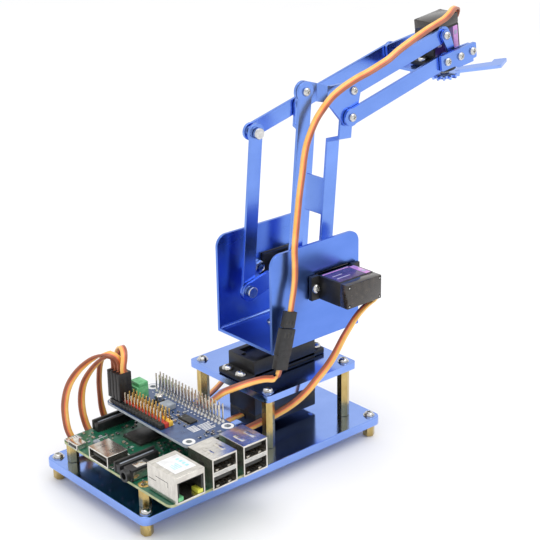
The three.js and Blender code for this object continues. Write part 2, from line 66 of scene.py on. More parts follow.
TO_FRAME = Matrix.Translation(ORIGIN) @ Matrix.Scale(MM, 4)


def V(x, y, z):
    return ORIGIN + Vector((x, y, z)) * MM


# ---------------- camera and light
SENSOR = 36  # camera sensor, mm
PICTURE = 540  # width of the picture in pixels
FOCAL = 1438.8  # focal length in the same pixels


def camera():
    az, el, roll = math.radians(-40.85), math.radians(21.09), math.radians(-1.04)
    back = Vector((math.sin(az) * math.cos(el), -math.cos(az) * math.cos(el), math.sin(el)))
    right = Vector((math.cos(az), math.sin(az), 0))
    up = back.cross(right)
    r = right * math.cos(roll) + up * math.sin(roll)
    u = up * math.cos(roll) - right * math.sin(roll)
    m = Matrix((r, u, back)).transposed().to_4x4()
    m.translation = V(-395.7, -499.65, 344.0)
    data = bpy.data.cameras.new("camera")
    data.sensor_width = SENSOR
    data.lens = FOCAL / PICTURE * SENSOR
    data.clip_start = 0.01
    cam = bpy.data.objects.new("camera", data)
    cam.matrix_world = m
    bpy.context.scene.collection.objects.link(cam)
    bpy.context.scene.camera = cam


def area(name, at, aim, size, power):
    data = bpy.data.lights.new(name, "AREA")
    data.shape = "RECTANGLE"
    data.size, data.size_y = size
    data.energy = power
    lamp = bpy.data.objects.new(name, data)
    lamp.location = at
    lamp.rotation_euler = (Vector(aim) - Vector(at)).to_track_quat("-Z", "Y").to_euler()
    bpy.context.scene.collection.objects.link(lamp)


camera()


# ---------------- materials
def surface(name, dark, light, rough=(0.4, 0.5), metal=0.0, scale=(400, 400, 400), detail=3,
            bump=0.0, bump_scale=None, coat=0.0, spots=None):
    """Principled material whose colour and roughness wander between two values with a noise.

    scale and bump_scale are in turns per metre. spots: (cells per metre, size, colour) of specks.
    """
    mat = bpy.data.materials.new(name)
    mat.use_nodes = True
    bsdf = mat.node_tree.nodes["Principled BSDF"]
    new, link = mat.node_tree.nodes.new, mat.node_tree.links.new
    coord = new("ShaderNodeTexCoord")

    def noise_at(size, octaves):
        place = new("ShaderNodeMapping")
        place.inputs["Scale"].default_value = size
        link(coord.outputs["Object"], place.inputs["Vector"])
        cloud = new("ShaderNodeTexNoise")
        cloud.inputs["Scale"].default_value = 1.0
        cloud.inputs["Detail"].default_value = octaves
        link(place.outputs["Vector"], cloud.inputs["Vector"])
        return cloud

    noise = noise_at(scale, detail)
    noise.inputs["Roughness"].default_value = 0.6
    ramp = new("ShaderNodeValToRGB")
    ramp.color_ramp.elements[0].position = 0.35
    ramp.color_ramp.elements[0].color = (*dark, 1)
    ramp.color_ramp.elements[1].position = 0.68
    ramp.color_ramp.elements[1].color = (*light, 1)
    link(noise.outputs["Fac"], ramp.inputs["Fac"])
    color = ramp.outputs["Color"]
    if spots:
        cell = new("ShaderNodeTexVoronoi")
        cell.inputs["Scale"].default_value = spots[0]
        link(coord.outputs["Object"], cell.inputs["Vector"])
        pick = new("ShaderNodeMath")
        pick.operation = "LESS_THAN"
        pick.inputs[1].default_value = spots[1]
        link(cell.outputs["Distance"], pick.inputs[0])
        mix = new("ShaderNodeMix")
        mix.data_type = "RGBA"
        link(pick.outputs[0], mix.inputs["Factor"])
        link(color, mix.inputs["A"])
        mix.inputs["B"].default_value = (*spots[2], 1)
        color = mix.outputs["Result"]
    link(color, bsdf.inputs["Base Color"])
    span = new("ShaderNodeMapRange")
    span.inputs["To Min"].default_value = rough[0]
    span.inputs["To Max"].default_value = rough[1]
    link(noise.outputs["Fac"], span.inputs["Value"])
    link(span.outputs["Result"], bsdf.inputs["Roughness"])
    bsdf.inputs["Metallic"].default_value = metal
    bsdf.inputs["Coat Weight"].default_value = coat
    bsdf.inputs["Coat Roughness"].default_value = 0.08
    if bump:
        raised = new("ShaderNodeBump")
        raised.inputs["Strength"].default_value = bump
        raised.inputs["Distance"].default_value = 0.00005
        link(noise_at(bump_scale or scale, 2).outputs["Fac"], raised.inputs["Height"])
        link(raised.outputs["Normal"], bsdf.inputs["Normal"])
    return mat


def anodised(name, dark, light, rough):
    return surface(name, dark, light, rough, metal=1.0, scale=(25, 40, 60), detail=4,
                   bump=0.1, bump_scale=(90, 900, 1400))


def core(name, dark, light):
    """Insulation of one core of a flat lead."""
    return surface(name, dark, light, (0.3, 0.42), scale=(120, 120, 120), coat=0.15)


M = {
    "plate": anodised("anodised_plate", (0.235, 0.37, 0.82), (0.285, 0.43, 0.90), (0.12, 0.18)),
    "sheet": anodised("anodised_sheet", (0.115, 0.23, 0.68), (0.145, 0.27, 0.76), (0.25, 0.31)),
    "bar": anodised("anodised_bar", (0.165, 0.29, 0.73), (0.20, 0.34, 0.82), (0.22, 0.29)),
    "brass": surface("brass", (0.46, 0.33, 0.12), (0.62, 0.47, 0.20), (0.2, 0.32), 1.0,
        (300, 300, 120), bump=0.12, bump_scale=(2500, 2500, 200)),
    "steel": surface("nickel_steel", (0.50, 0.50, 0.49), (0.72, 0.71, 0.69), (0.14, 0.26), 1.0,
        (900, 900, 900), bump=0.05),
    "shell": surface("tinned_shell", (0.60, 0.57, 0.52), (0.76, 0.73, 0.67), (0.13, 0.2), 0.95,
        (200, 500, 200), bump=0.05, bump_scale=(500, 3000, 500)),
    "pin": surface("tinned_pin", (0.55, 0.51, 0.44), (0.80, 0.76, 0.68), (0.18, 0.28), 1.0),
    "gold": surface("gold_contact", (0.72, 0.47, 0.14), (0.86, 0.62, 0.24), (0.2, 0.3), 1.0),
    "solder": surface("solder", (0.55, 0.55, 0.55), (0.78, 0.78, 0.77), (0.16, 0.3), 1.0),
    "case": surface("servo_case", (0.006, 0.006, 0.007), (0.014, 0.014, 0.016), (0.38, 0.5),
        bump=0.25, bump_scale=(5000, 5000, 5000)),
    "housing": surface("plug_housing", (0.008, 0.008, 0.009), (0.02, 0.02, 0.022), (0.34, 0.46),
        bump=0.2, bump_scale=(4000, 4000, 4000)),
    "smoke": surface("smoked_cap", (0.018, 0.014, 0.012), (0.046, 0.037, 0.031), (0.14, 0.24),
        coat=0.3, spots=(420, 0.18, (0.06, 0.047, 0.037))),
    "label": surface("label_film", (0.034, 0.015, 0.10), (0.08, 0.032, 0.18), (0.24, 0.32), coat=0.25),
    "pink": surface("label_pink", (0.52, 0.20, 0.58), (0.70, 0.36, 0.72), (0.22, 0.3), coat=0.4),
    "print": surface("label_print", (0.32, 0.29, 0.45), (0.45, 0.42, 0.6), (0.3, 0.4)),
    "mask": surface("green_mask", (0.004, 0.085, 0.045), (0.012, 0.16, 0.085), (0.24, 0.34),
        coat=0.25, scale=(240, 240, 240), spots=(900, 0.16, (0.02, 0.25, 0.13)),
        bump=0.2, bump_scale=(900, 900, 900)),
    "mask_blue": surface("blue_mask", (0.028, 0.06, 0.16), (0.05, 0.10, 0.235), (0.24, 0.34),
        coat=0.25, scale=(260, 260, 260), spots=(1000, 0.15, (0.09, 0.15, 0.30)),
        bump=0.2, bump_scale=(900, 900, 900)),
    "laminate": surface("board_edge", (0.36, 0.40, 0.20), (0.52, 0.54, 0.32), (0.5, 0.6)),
    "laminate_grey": surface("board_edge_grey", (0.36, 0.40, 0.46), (0.5, 0.54, 0.6), (0.5, 0.6)),
    "epoxy": surface("chip_epoxy", (0.013, 0.013, 0.012), (0.035, 0.035, 0.032), (0.35, 0.46),
        bump=0.2, bump_scale=(3000, 3000, 3000)),
    "grey": surface("coil_grey", (0.22, 0.25, 0.29), (0.34, 0.38, 0.43), (0.35, 0.45)),
    "silk": surface("silkscreen", (0.72, 0.72, 0.72), (0.86, 0.86, 0.86), (0.5, 0.6)),
    "cyan": surface("label_bars", (0.35, 0.72, 0.82), (0.5, 0.82, 0.9), (0.4, 0.5)),
    "white": surface("white_plastic", (0.66, 0.65, 0.62), (0.78, 0.77, 0.74), (0.35, 0.45)),
    "cap": surface("ceramic_part", (0.28, 0.20, 0.13), (0.42, 0.31, 0.2), (0.4, 0.5)),
    "green": surface("terminal_plastic", (0.10, 0.42, 0.17), (0.20, 0.56, 0.27), (0.36, 0.46)),
    "red_bed": surface("header_red", (0.42, 0.03, 0.02), (0.6, 0.06, 0.04), (0.38, 0.48)),
    "yellow_bed": surface("header_yellow", (0.72, 0.42, 0.03), (0.88, 0.58, 0.08), (0.38, 0.48)),
    "lamp": surface("lamp_yellow", (0.62, 0.62, 0.05), (0.8, 0.8, 0.12), (0.25, 0.35), coat=0.4),
    "core_yellow": core("core_yellow", (0.84, 0.43, 0.09), (0.94, 0.56, 0.16)),
    "core_red": core("core_red", (0.80, 0.16, 0.065), (0.90, 0.23, 0.095)),
    "core_brown": core("core_brown", (0.29, 0.08, 0.04), (0.39, 0.125, 0.06)),
    "floor": surface("studio_floor", (0.86, 0.86, 0.87), (0.9, 0.9, 0.91), (0.7, 0.8),
        scale=(3, 3, 3)),
}


# ---------------- mesh building
def drain(bm):
    """Vertices and faces of a bmesh, which is freed."""
    bm.normal_update()
    bm.verts.index_update()
    out = ([v.co.copy() for v in bm.verts], [[v.index for v in f.verts] for f in bm.faces])
    bm.free()
    return out


def box_geo(x0, x1, y0, y1, z0, z1, bevel=0.0):
    bm = bmesh.new()
    bmesh.ops.create_cube(bm, size=1)
    for v in bm.verts:
        v.co = Vector((x0 + (v.co.x + 0.5) * (x1 - x0), y0 + (v.co.y + 0.5) * (y1 - y0),
                       z0 + (v.co.z + 0.5) * (z1 - z0)))
    if bevel:
        bmesh.ops.bevel(bm, geom=bm.edges[:], offset=bevel, segments=2, profile=0.5,
                        affect="EDGES", clamp_overlap=True)
    return drain(bm)


def circle(r, z, n):
    return [Vector((r * math.cos(2 * math.pi * i / n), r * math.sin(2 * math.pi * i / n), z))
            for i in range(n)]


def lathe_geo(profile, n=24):
    """Solid of revolution about Z from (radius, height) pairs that begin and end on the axis."""
    verts, faces, rings = [], [], []
    for r, z in profile:
        ring = circle(r, z, n) if r > 1e-6 else [Vector((0, 0, z))]
        rings.append(list(range(len(verts), len(verts) + len(ring))))
        verts += ring
    for a, b in zip(rings, rings[1:]):
        for i in range(n):
            j = (i + 1) % n
            quad = [a[i % len(a)], a[j % len(a)], b[j % len(b)], b[i % len(b)]]
            faces.append(list(dict.fromkeys(quad)))
    return verts, faces


def ring_geo(r0, r1, z0, z1, n=28):
    """Flat ring about Z between two radii and two heights."""
    verts = circle(r0, z0, n) + circle(r1, z0, n) + circle(r1, z1, n) + circle(r0, z1, n)
    faces = []
    for k in range(4):
        for i in range(n):
            j = (i + 1) % n
            m = (k + 1) % 4
            faces.append([k * n + i, k * n + j, m * n + j, m * n + i])
    return verts, faces


def prism_geo(outline, z0, z1, bevel=0.0):
    """Upright prism on a counter-clockwise outline."""
    bm = bmesh.new()
    low = [bm.verts.new((x, y, z0)) for x, y in outline]
    top = [bm.verts.new((x, y, z1)) for x, y in outline]
    bm.faces.new(reversed(low))
    bm.faces.new(top)
    for i in range(len(outline)):
        j = (i + 1) % len(outline)
        bm.faces.new((low[i], low[j], top[j], top[i]))
    if bevel:
        rim = [e for e in bm.edges if abs(e.verts[0].co.z - e.verts[1].co.z) < 1e-6]
        bmesh.ops.bevel(bm, geom=rim, offset=bevel, segments=2, profile=0.5, affect="EDGES",
                        clamp_overlap=True)
    return drain(bm)


def hex_geo(across, z0, z1, bevel):
    return prism_geo([v.xy for v in circle(across / math.sqrt(3), 0, 6)], z0, z1, bevel)


def sweep_geo(section, path, widths):
    """section: (across width, across thickness) points; widths: width direction at each point."""
    verts, faces, n = [], [], len(section)
    for i, p in enumerate(path):
        t = (path[min(i + 1, len(path) - 1)] - path[max(i - 1, 0)]).normalized()
        w = (widths[i] - t * widths[i].dot(t)).normalized()
        h = t.cross(w)
        verts += [p + w * a + h * b for a, b in section]
    for i in range(len(path) - 1):
        for k in range(n):
            m = (k + 1) % n
            faces.append([i * n + k, i * n + m, (i + 1) * n + m, (i + 1) * n + k])
    faces.append(list(range(n))[::-1])
    faces.append([(len(path) - 1) * n + k for k in range(n)])
    return verts, faces


class Part:
    """Collects closed shapes, each with its own material, into one object."""

    def __init__(self, name, body, slot, at=None):
        self.name, self.body, self.slot = name, body, slot
        self.at = at or Matrix.Identity(4)
        self.verts, self.faces, self.index, self.mats = [], [], [], []

    def add(self, geo, mat, at=None):
        m = self.at @ at if at is not None else self.at
        base = len(self.verts)
        flip = m.determinant() < 0
        self.verts += [m @ v for v in geo[0]]
        if mat not in self.mats:
            self.mats.append(mat)
        k = self.mats.index(mat)
        for f in geo[1]:
            self.faces.append([base + i for i in (reversed(f) if flip else f)])
            self.index.append(k)

    def box(self, x0, x1, y0, y1, z0, z1, mat, bevel=0.12, at=None):
        self.add(box_geo(x0, x1, y0, y1, z0, z1, bevel), mat, at)

    def post(self, x, y, rx, ry, z0, z1, mat, bevel=0.12, at=None):
        """Upright box around (x, y) that reaches rx and ry from its middle."""
        self.box(x - rx, x + rx, y - ry, y + ry, z0, z1, mat, bevel, at)

    def rod(self, r, z0, z1, mat, at=None, n=20, bevel=0.12):
        """Upright cylinder on the part's axis, with its rims broken."""
        b = min(bevel, r / 3, abs(z1 - z0) / 3)
        self.add(lathe_geo([(0, z0), (r - b, z0), (r, z0 + b), (r, z1 - b), (r - b, z1), (0, z1)], n),
                 mat, at)

    def done(self, replaces=(), smooth=0.7, rides=True):
        """Makes the object; edges that turn by more than smooth radians stay sharp."""
        mesh = bpy.data.meshes.new(self.name)
        mesh.from_pydata([TO_FRAME @ v for v in self.verts], [], self.faces)
        for m in self.mats:
            mesh.materials.append(M[m])
        mesh.polygons.foreach_set("material_index", self.index)
        mesh.update()
        bm = bmesh.new()
        bm.from_mesh(mesh)
        bmesh.ops.recalc_face_normals(bm, faces=bm.faces[:])
        bm.to_mesh(mesh)
        bm.free()
        mesh.shade_smooth()
        mesh.set_sharp_from_angle(angle=smooth)
        obj = bpy.data.objects.new(self.name, mesh)
        bpy.context.scene.collection.objects.link(obj)
        if rides:
            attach(obj, self.body)
        if replaces:
            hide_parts(*replaces)
        return obj


def body_of(node):
    return next(b for b, ns in frame["record"]["behaviour"]["bodies"].items() if node in ns)


LARGE_FACE = 7e-6  # square metres
SHARP = 0.6  # edges that turn by more radians are rounded


def refine(node, mat, bevel, edge=None, merge=True):
    """The CAD solid with its sharp edges rounded by bevel mm.

    edge is the material of the faces that stand upright, where it differs. merge first makes one
    face of each flat side; it is off for the bracket, whose walls have a large window.
    """
    mesh = frame["nodes"][node].data.copy()
    mesh.materials.clear()
    bm = bmesh.new()
    bm.from_mesh(mesh)
    bmesh.ops.remove_doubles(bm, verts=bm.verts[:], dist=1e-6)
    if merge:
        bmesh.ops.dissolve_limit(bm, angle_limit=math.radians(1), verts=bm.verts[:],
                                 edges=bm.edges[:], use_dissolve_boundaries=False, delimit=set())
    sharp = [e for e in bm.edges if len(e.link_faces) == 2 and e.calc_face_angle(0) > SHARP]
    bmesh.ops.bevel(bm, geom=sharp, offset=bevel * MM, segments=2, profile=0.5,
                    affect="EDGES", clamp_overlap=True)
    bm.normal_update()
    if edge:
        for f in bm.faces:
            f.material_index = 1 if abs(f.normal.z) < 0.5 else 0
    bm.to_mesh(mesh)
    bm.free()
    mesh.materials.append(M[mat])
    if edge:
        mesh.materials.append(M[edge])
    if "custom_normal" in mesh.attributes:
        mesh.attributes.remove(mesh.attributes["custom_normal"])
    mesh.set_sharp_from_angle(angle=0.9)
    for f in mesh.polygons:  # wide and square-on faces stay flat, rims smooth
        f.use_smooth = f.area < LARGE_FACE and max(abs(c) for c in f.normal) < 0.9999
    obj = bpy.data.objects.new(node + "_finished", mesh)
    bpy.context.scene.collection.objects.link(obj)
    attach(obj, body_of(node))
    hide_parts(node)


def cut_away(geo, tool):
    """geo minus tool, both lists of vertices and faces."""
    objs = []
    for g in (geo, tool):
        mesh = bpy.data.meshes.new("scratch")
        mesh.from_pydata(g[0], [], g[1])
        bm = bmesh.new()
        bm.from_mesh(mesh)
        bmesh.ops.recalc_face_normals(bm, faces=bm.faces[:])
        bm.to_mesh(mesh)
        bm.free()
        o = bpy.data.objects.new("scratch", mesh)
        bpy.context.scene.collection.objects.link(o)
        objs.append(o)
    mod = objs[0].modifiers.new("cut", "BOOLEAN")
    mod.operation, mod.solver, mod.object = "DIFFERENCE", "EXACT", objs[1]
    graph = bpy.context.evaluated_depsgraph_get()
    graph.update()
    shaped = objs[0].evaluated_get(graph).to_mesh()
    out = ([v.co.copy() for v in shaped.vertices], [list(p.vertices) for p in shaped.polygons])
    for o in objs:
        data = o.data
        bpy.data.objects.remove(o)
        bpy.data.meshes.remove(data)
    return out


def sized(geo, scale):
    return [v * scale for v in geo[0]], geo[1]


def moved(geo, x):
    return [v + Vector((x, 0, 0)) for v in geo[0]], geo[1]


# ---------------- screws and nuts
def cross_tool(w, t, z0, z1):
    """Plus sign that reaches w from its middle, with arms 2 t wide."""
    return prism_geo([(t, t), (t, w), (-t, w), (-t, t), (-w, t), (-w, -t), (-t, -t), (-t, -w),
                      (t, -w), (t, -t), (w, -t), (w, t)], z0, z1)


PAN = cut_away(lathe_geo([(0, 0), (2.65, 0), (2.8, 0.18), (2.78, 0.75), (2.5, 1.3), (1.9, 1.72),
                          (1.1, 1.93), (0, 2.0)], 28), cross_tool(1.55, 0.34, 0.85, 3))
PAN_SMALL = sized(PAN, 0.76)  # heads at the link pivots and the gripper
PAN_EAR = sized(PAN, 0.85)  # heads in the servo ears
PAN_BASE = sized(PAN, 0.84)  # heads on the base and the deck
NUT = cut_away(hex_geo(5.5, 0, 2.2, 0.3), lathe_geo([(0, -1), (1.3, -1), (1.3, 3), (0, 3)], 18))
NUT_SMALL = sized(NUT, 0.8)
SCREW_WELL = lathe_geo([(0, -4), (1.15, -4), (1.15, 2), (0, 2)], 18)


# ---------------- directions and places
def T(x, y, z):
    return Matrix.Translation((x, y, z))


def turned(deg):
    return Matrix.Rotation(math.radians(deg), 4, "Z")


NEAR = Matrix.Rotation(math.pi / 2, 4, "X")  # local +Z points to -Y
FAR = Matrix.Rotation(-math.pi / 2, 4, "X")  # local +Z points to +Y
DOWN = Matrix.Rotation(math.pi, 4, "X")  # local +Z points down
ALONG = Matrix(((0, 0, 1), (0, -1, 0), (1, 0, 0))).to_4x4()  # local +Z points to +X, +X up
SHEET = 1.6  # thickness of the folded sheet
FOLD = 1.3  # radius inside its folds

BASE_UNDER, BASE_TOP, DECK_TOP = 6.5, 11, 40.7
FEET = (0, 0, 70.4, 35.4)  # middle of the feet and half their spacing
DECK = (36.3, -0.8, 25.1, 25.1)  # middle of the deck's screws and half spacing
BOARD = (-70.6, 30.85)  # the computer board's corner at its card end
BOARD_UNDER, BOARD_TOP, DRIVER_TOP = 20.05, 22.1, 34.1
HOLES = ((3.5, 3.5), (3.5, 52.5), (61.5, 3.5), (61.5, 52.5))
HEADER = (-19.37, 22.5)  # first pin of the 40-pin header
STEP = 2.54  # pin spacing
SERVO_ROW = -40.1  # middle row of the servo header


def corners(x, y, dx, dy):
    return [(x + sx * dx, y + sy * dy) for sx in (-1, 1) for sy in (-1, 1)]


def at_board(u, v, z):
    """u along the board from its card end, v from its outer long edge."""
    return T(BOARD[0] + v, BOARD[1] - u, z)


# ---------------- pivots of the linkage
LEAN, RISE, PITCH = math.radians(5.4), math.radians(14.5), math.radians(8)
ARM, FOREARM, CRANK = 80, 66.5, 32.5
REAR = (-26.3, 16.5)  # the lower levelling link, from the arm
FRONT = (2.6, 12.2)  # the upper levelling link, from the forearm


def shift(p, q):
    return (p[0] + q[0], p[1] + q[1])


def at_pivot(pivot, y, dx=0):
    return T(pivot[0] + dx, y, pivot[1])


# (x, y) of the waist and (x, z) of every other pivot; LOWER and UPPER are the levelling links
WAIST = (44.9, -2.35)
SHOULDER = (62.0, 85.1)
ELBOW = shift(SHOULDER, (ARM * math.sin(LEAN), ARM * math.cos(LEAN)))
WRIST = shift(ELBOW, (FOREARM * math.cos(RISE), FOREARM * math.sin(RISE)))
TAIL = shift(ELBOW, (-CRANK * math.cos(RISE), -CRANK * math.sin(RISE)))  # rear link on the forearm
LOWER_HEAD, LOWER_FOOT = shift(ELBOW, REAR), shift(SHOULDER, REAR)
UPPER_REAR, UPPER_FRONT = shift(ELBOW, FRONT), shift(WRIST, FRONT)
HAND = at_pivot(WRIST, WAIST[1]) @ Matrix.Rotation(-PITCH, 4, "Y")
JAW_X, JAW_Y = 14.2, 7  # the jaws' pivots on the hand


# ---------------- leads
def spline(points, step=1.6):
    """Centripetal curve through the points, cut into even steps."""
    p = [Vector(q) for q in points]
    p = [p[0] * 2 - p[1]] + p + [p[-1] * 2 - p[-2]]
    fine = []
    for i in range(1, len(p) - 2):
        p0, p1, p2, p3 = p[i - 1:i + 3]
        d0, d1, d2 = (max((b - a).length ** 0.5, 1e-4) for a, b in ((p0, p1), (p1, p2), (p2, p3)))
        t1 = ((p1 - p0) / d0 - (p2 - p0) / (d0 + d1) + (p2 - p1) / d1) * d1
        t2 = ((p2 - p1) / d1 - (p3 - p1) / (d1 + d2) + (p3 - p2) / d2) * d1
        for k in range(24):
            s = k / 24
            fine.append(p1 * (2 * s**3 - 3 * s**2 + 1) + t1 * (s**3 - 2 * s**2 + s)
                        + p2 * (3 * s**2 - 2 * s**3) + t2 * (s**3 - s**2))
    fine.append(p[-2])
    runs = [0.0]
    for a, b in zip(fine, fine[1:]):
        runs.append(runs[-1] + (b - a).length)
    n = max(8, round(runs[-1] / step))
    out, k = [], 0
    for i in range(n + 1):
        want = runs[-1] * i / n
        while k < len(runs) - 2 and runs[k + 1] < want:
            k += 1
        s = (want - runs[k]) / max(runs[k + 1] - runs[k], 1e-9)
        out.append(fine[k].lerp(fine[k + 1], s))
    return out


def width_directions(path, hints):
    """Width direction along the path, from (fraction, vector) hints."""
    out = []
    for i in range(len(path)):
        f = i / (len(path) - 1)
        lo = max((h for h in hints if h[0] <= f), key=lambda h: h[0])
        hi = min((h for h in hints if h[0] >= f), key=lambda h: h[0])
        s = 0 if hi[0] == lo[0] else (f - lo[0]) / (hi[0] - lo[0])
        s = s * s * (3 - 2 * s)
        out.append(Vector(lo[1]).normalized().lerp(Vector(hi[1]).normalized(), s).normalized())
    return out


CORE = 0.62  # radius of one core


def ribbon_section():
    """(across, through, core) points round three cores side by side; core is -1, 0 or 1."""
    pts = []
    for c, first, last in ((1, -60, 120), (0, 60, 120), (-1, 60, 300), (0, 240, 300)):
        for a in range(first, last + 1, 30):
            x, y = math.cos(math.radians(a)), math.sin(math.radians(a))
            pts.append((CORE * (1.9 * c + x), CORE * y, c))
    return pts


SECTION = ribbon_section()


def lead(name, path, widths, body, other=None, start=None, end=None, replaces=(), far="object",
         pieces=(), flip=False):
    """Three-core ribbon along path on body; given the body other, it is left unattached with its transform
    baked.
    """
    part = Part(name, body, "orange_wire")
    part.verts, part.faces = sweep_geo([(a, b) for a, b, _ in SECTION], path, widths)
    cores = ["core_brown", "core_red", "core_yellow"]
    part.mats = cores[::-1] if flip else cores
    n = len(SECTION)
    for k in range(len(part.faces) - 2):
        a, b = SECTION[k % n][2], SECTION[(k + 1) % n][2]
        part.index.append((a if abs(a) >= abs(b) else b) + 1)
    part.index += [1, 1]  # the two ends
    obj = part.done(replaces, smooth=1.0, rides=other is None)
    if other:
        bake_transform(obj)


GRIPPER_ROUTE = [
    (153.3, -9.2, 196.8), (155.4, -9.3, 197.6), (156.8, -9.7, 199.8), (156.2, -10.8, 202.8),
    (153.4, -12.4, 204.2), (149.2, -14.2, 204.2), (144.6, -16.4, 203), (139.4, -17.9, 201.4),
    (132.8, -18.9, 200), (125, -19.9, 198.4), (116.6, -21.2, 196.4), (108.2, -22.6, 194.4),
    (100.2, -23.6, 192), (93.2, -24.2, 189.2), (86.6, -24.6, 187.4), (79.8, -24.8, 185.6),
    (69.5, -25.2, 183.4), (59.6, -25.4, 180.2), (54.2, -25.2, 177.4), (49.2, -25.2, 173.4),
    (45.4, -24.8, 169.2), (42.2, -24.2, 163.4), (39.8, -23.7, 157.4), (38.3, -23.6, 151.6),
    (37.2, -23.6, 145), (36, -23.7, 139.4), (34.6, -23.9, 133), (33.2, -24.4, 126.4),
    (31.8, -25, 120.2), (29.2, -26.2, 108.2), (29, -26.6, 102), (28.6, -26.9, 95.4),
    (27.6, -27.2, 89.4), (26.2, -27.4, 83.8), (25.1, -27.4, 78.6)]
ROUTES = {
    "extension_lead": [
        (16.2, -29, 51.8), (14.6, -29.2, 48.9), (11.2, -29.5, 48.6), (6.4, -30, 50.2),
        (1.2, -30.2, 51.2), (-3.8, -29, 51), (-8.4, -26.4, 49.6), (-12.2, -21.6, 46.6),
        (-12.6, -14, 40), (-11.8, -5, 32), (-11.6, 3.4, 24.4), (-13.4, 10.8, 17.4),
        (-19.6, 18, 13.8), (-28.4, 25, 13.2), (-36, 30.4, 13.8), (-40.6, 34.8, 18.2),
        (-42.6, 36.6, 26.4), (-43.4, 36.8, 36.4), (-43.4, 36.4, 45), (-43, 34.8, 53),
        (-42, 32, 58), (-41, 29.3, 58.9), (-40.3, 27.9, 56.6), (-40.1, 27.8, 50.6)],
    "shoulder_lead": [
        (67.6, -38, 84.2), (70.6, -38, 83.6), (72.2, -38.4, 81.2), (71.2, -39.4, 78.2),
        (67.4, -40.8, 76.9), (62.4, -42, 76.4), (57.8, -42.4, 74.6), (53.4, -42.6, 71.8),
        (49.6, -42.6, 68.2), (46.2, -42, 63.8), (43.6, -41, 58.8), (41.2, -39.8, 53.8),
        (38.2, -38, 48.6), (34, -36, 43.2), (29.8, -34.4, 38.4), (25.4, -31.6, 33.4),
        (19.8, -27, 28), (12, -20, 22), (2, -12.8, 16.6), (-8, -5, 13.6), (-20, 4.6, 13.2),
        (-31, 14, 13.2), (-40.6, 23.2, 13.2), (-48, 30, 13.8), (-52.2, 34, 18.4),
        (-53.8, 36.4, 26.4), (-54.2, 36.8, 36.4), (-53, 35.4, 45), (-50, 32.2, 52.4),
        (-46, 28.6, 57.6), (-42.8, 26.2, 58.6), (-40.8, 25.3, 56.4), (-40.1, 25.26, 50.6)],
    "waist_lead": [
        (14, -2.4, 18.6), (6, -2.6, 18.6), (-2, -3.2, 18), (-10, -4.2, 17.6), (-18, -4.6, 15),
        (-26, 0, 13.4), (-36, 8.4, 13.2), (-47, 18.4, 13.2), (-56, 27, 13.4), (-60.6, 32.6, 15.4),
        (-63, 35.8, 21), (-64, 36.8, 30), (-63.6, 36.6, 38.6), (-61.4, 34.8, 47.6),
        (-56.6, 31.4, 55.4), (-50.4, 27.4, 60.4), (-45, 24.2, 61.2), (-41.8, 22.9, 58.8),
        (-40.4, 22.7, 56), (-40.1, 22.72, 50.6)],
    "elbow_lead": [
        (67.6, 34.3, 84.2), (70.8, 34.3, 83.4), (72.4, 34.6, 80.2), (72, 35.4, 75),
        (69.6, 36.2, 66), (64, 36.6, 52), (54, 36, 38), (42, 35, 26), (30, 33.8, 18),
        (18, 32, 14.2), (4, 30, 13.3), (-9, 30, 13.3), (-18.6, 33.4, 14), (-25.4, 36.2, 18.2),
        (-29, 37.2, 27), (-31, 37, 38), (-33, 35.4, 48.6), (-34.6, 31.6, 57.4), (-36, 26.8, 61.6),
        (-37.6, 22.6, 61), (-39.2, 20.4, 57.8), (-40.1, 20.1, 54.6), (-40.1, 20.18, 50.6)],
}


def header_plug(row):
    """Three-way crimp housing with its latch windows and ribs; the lead leaves at the top."""
    h, t = 14.2, 1.1  # height and half thickness
    p = Part(f"header_plug_{row}_housing", "base", "black_plastic",
             T(SERVO_ROW, 27.8 - STEP * (row - 1), 37.2))
    p.post(0, 0, 3.7, t, 0, h, "housing", 0.25)
    for i in (-1, 0, 1):
        p.post(i * 2.3, 0.07 - t, 0.6, 0.13, h * 0.55, h * 0.78, "epoxy", 0.05)
        p.rod(0.7, h - 0.4, h + 0.14, "core_brown" if i else "core_red", T(i * 1.6, 0, 0), 12, 0.05)
    for i in (-1, 1):
        p.post(i * 2.3, 0, 0.16, t + 0.08, 0.4, h - 3, "housing", 0.05)
    return p.done([f"header_plug_{row}"])


def joined_pair():
    """The gripper lead's socket and the extension plug below it, in line."""
    pair = T(24.9, -27.4, 78.8) @ Matrix.Rotation(-0.06, 4, "X") @ Matrix.Rotation(0.31, 4, "Y")
    upper = Part("lead_socket_housing", "turret", "black_plastic", pair)
    upper.post(0, 0, 3.6, 1.35, -8, 0, "housing", 0.25)
    for i in (-1, 0, 1):
        upper.post(i * 2.2, -1.31, 0.5, 0.11, -6.4, -4.4, "epoxy", 0.05)
    socket = upper.done(["lead_socket"])
    lower = Part("extension_plug_housing", "turret", "black_plastic", pair)
    lower.post(0, 0, 4.2, 1.7, -21.6, -8.3, "housing", 0.25)
    lower.post(0, 0, 3.9, 1.55, -28.6, -21.4, "housing", 0.3)
    lower.post(0, -1.59, 3.4, 0.19, -20.8, -18.7, "housing", 0.12)
    for i in (-1, 0, 1):
        lower.post(i * 2.3, -1.64, 0.5, 0.14, -12.6, -10.2, "epoxy", 0.05)
    return socket, lower.done(["extension_plug"])


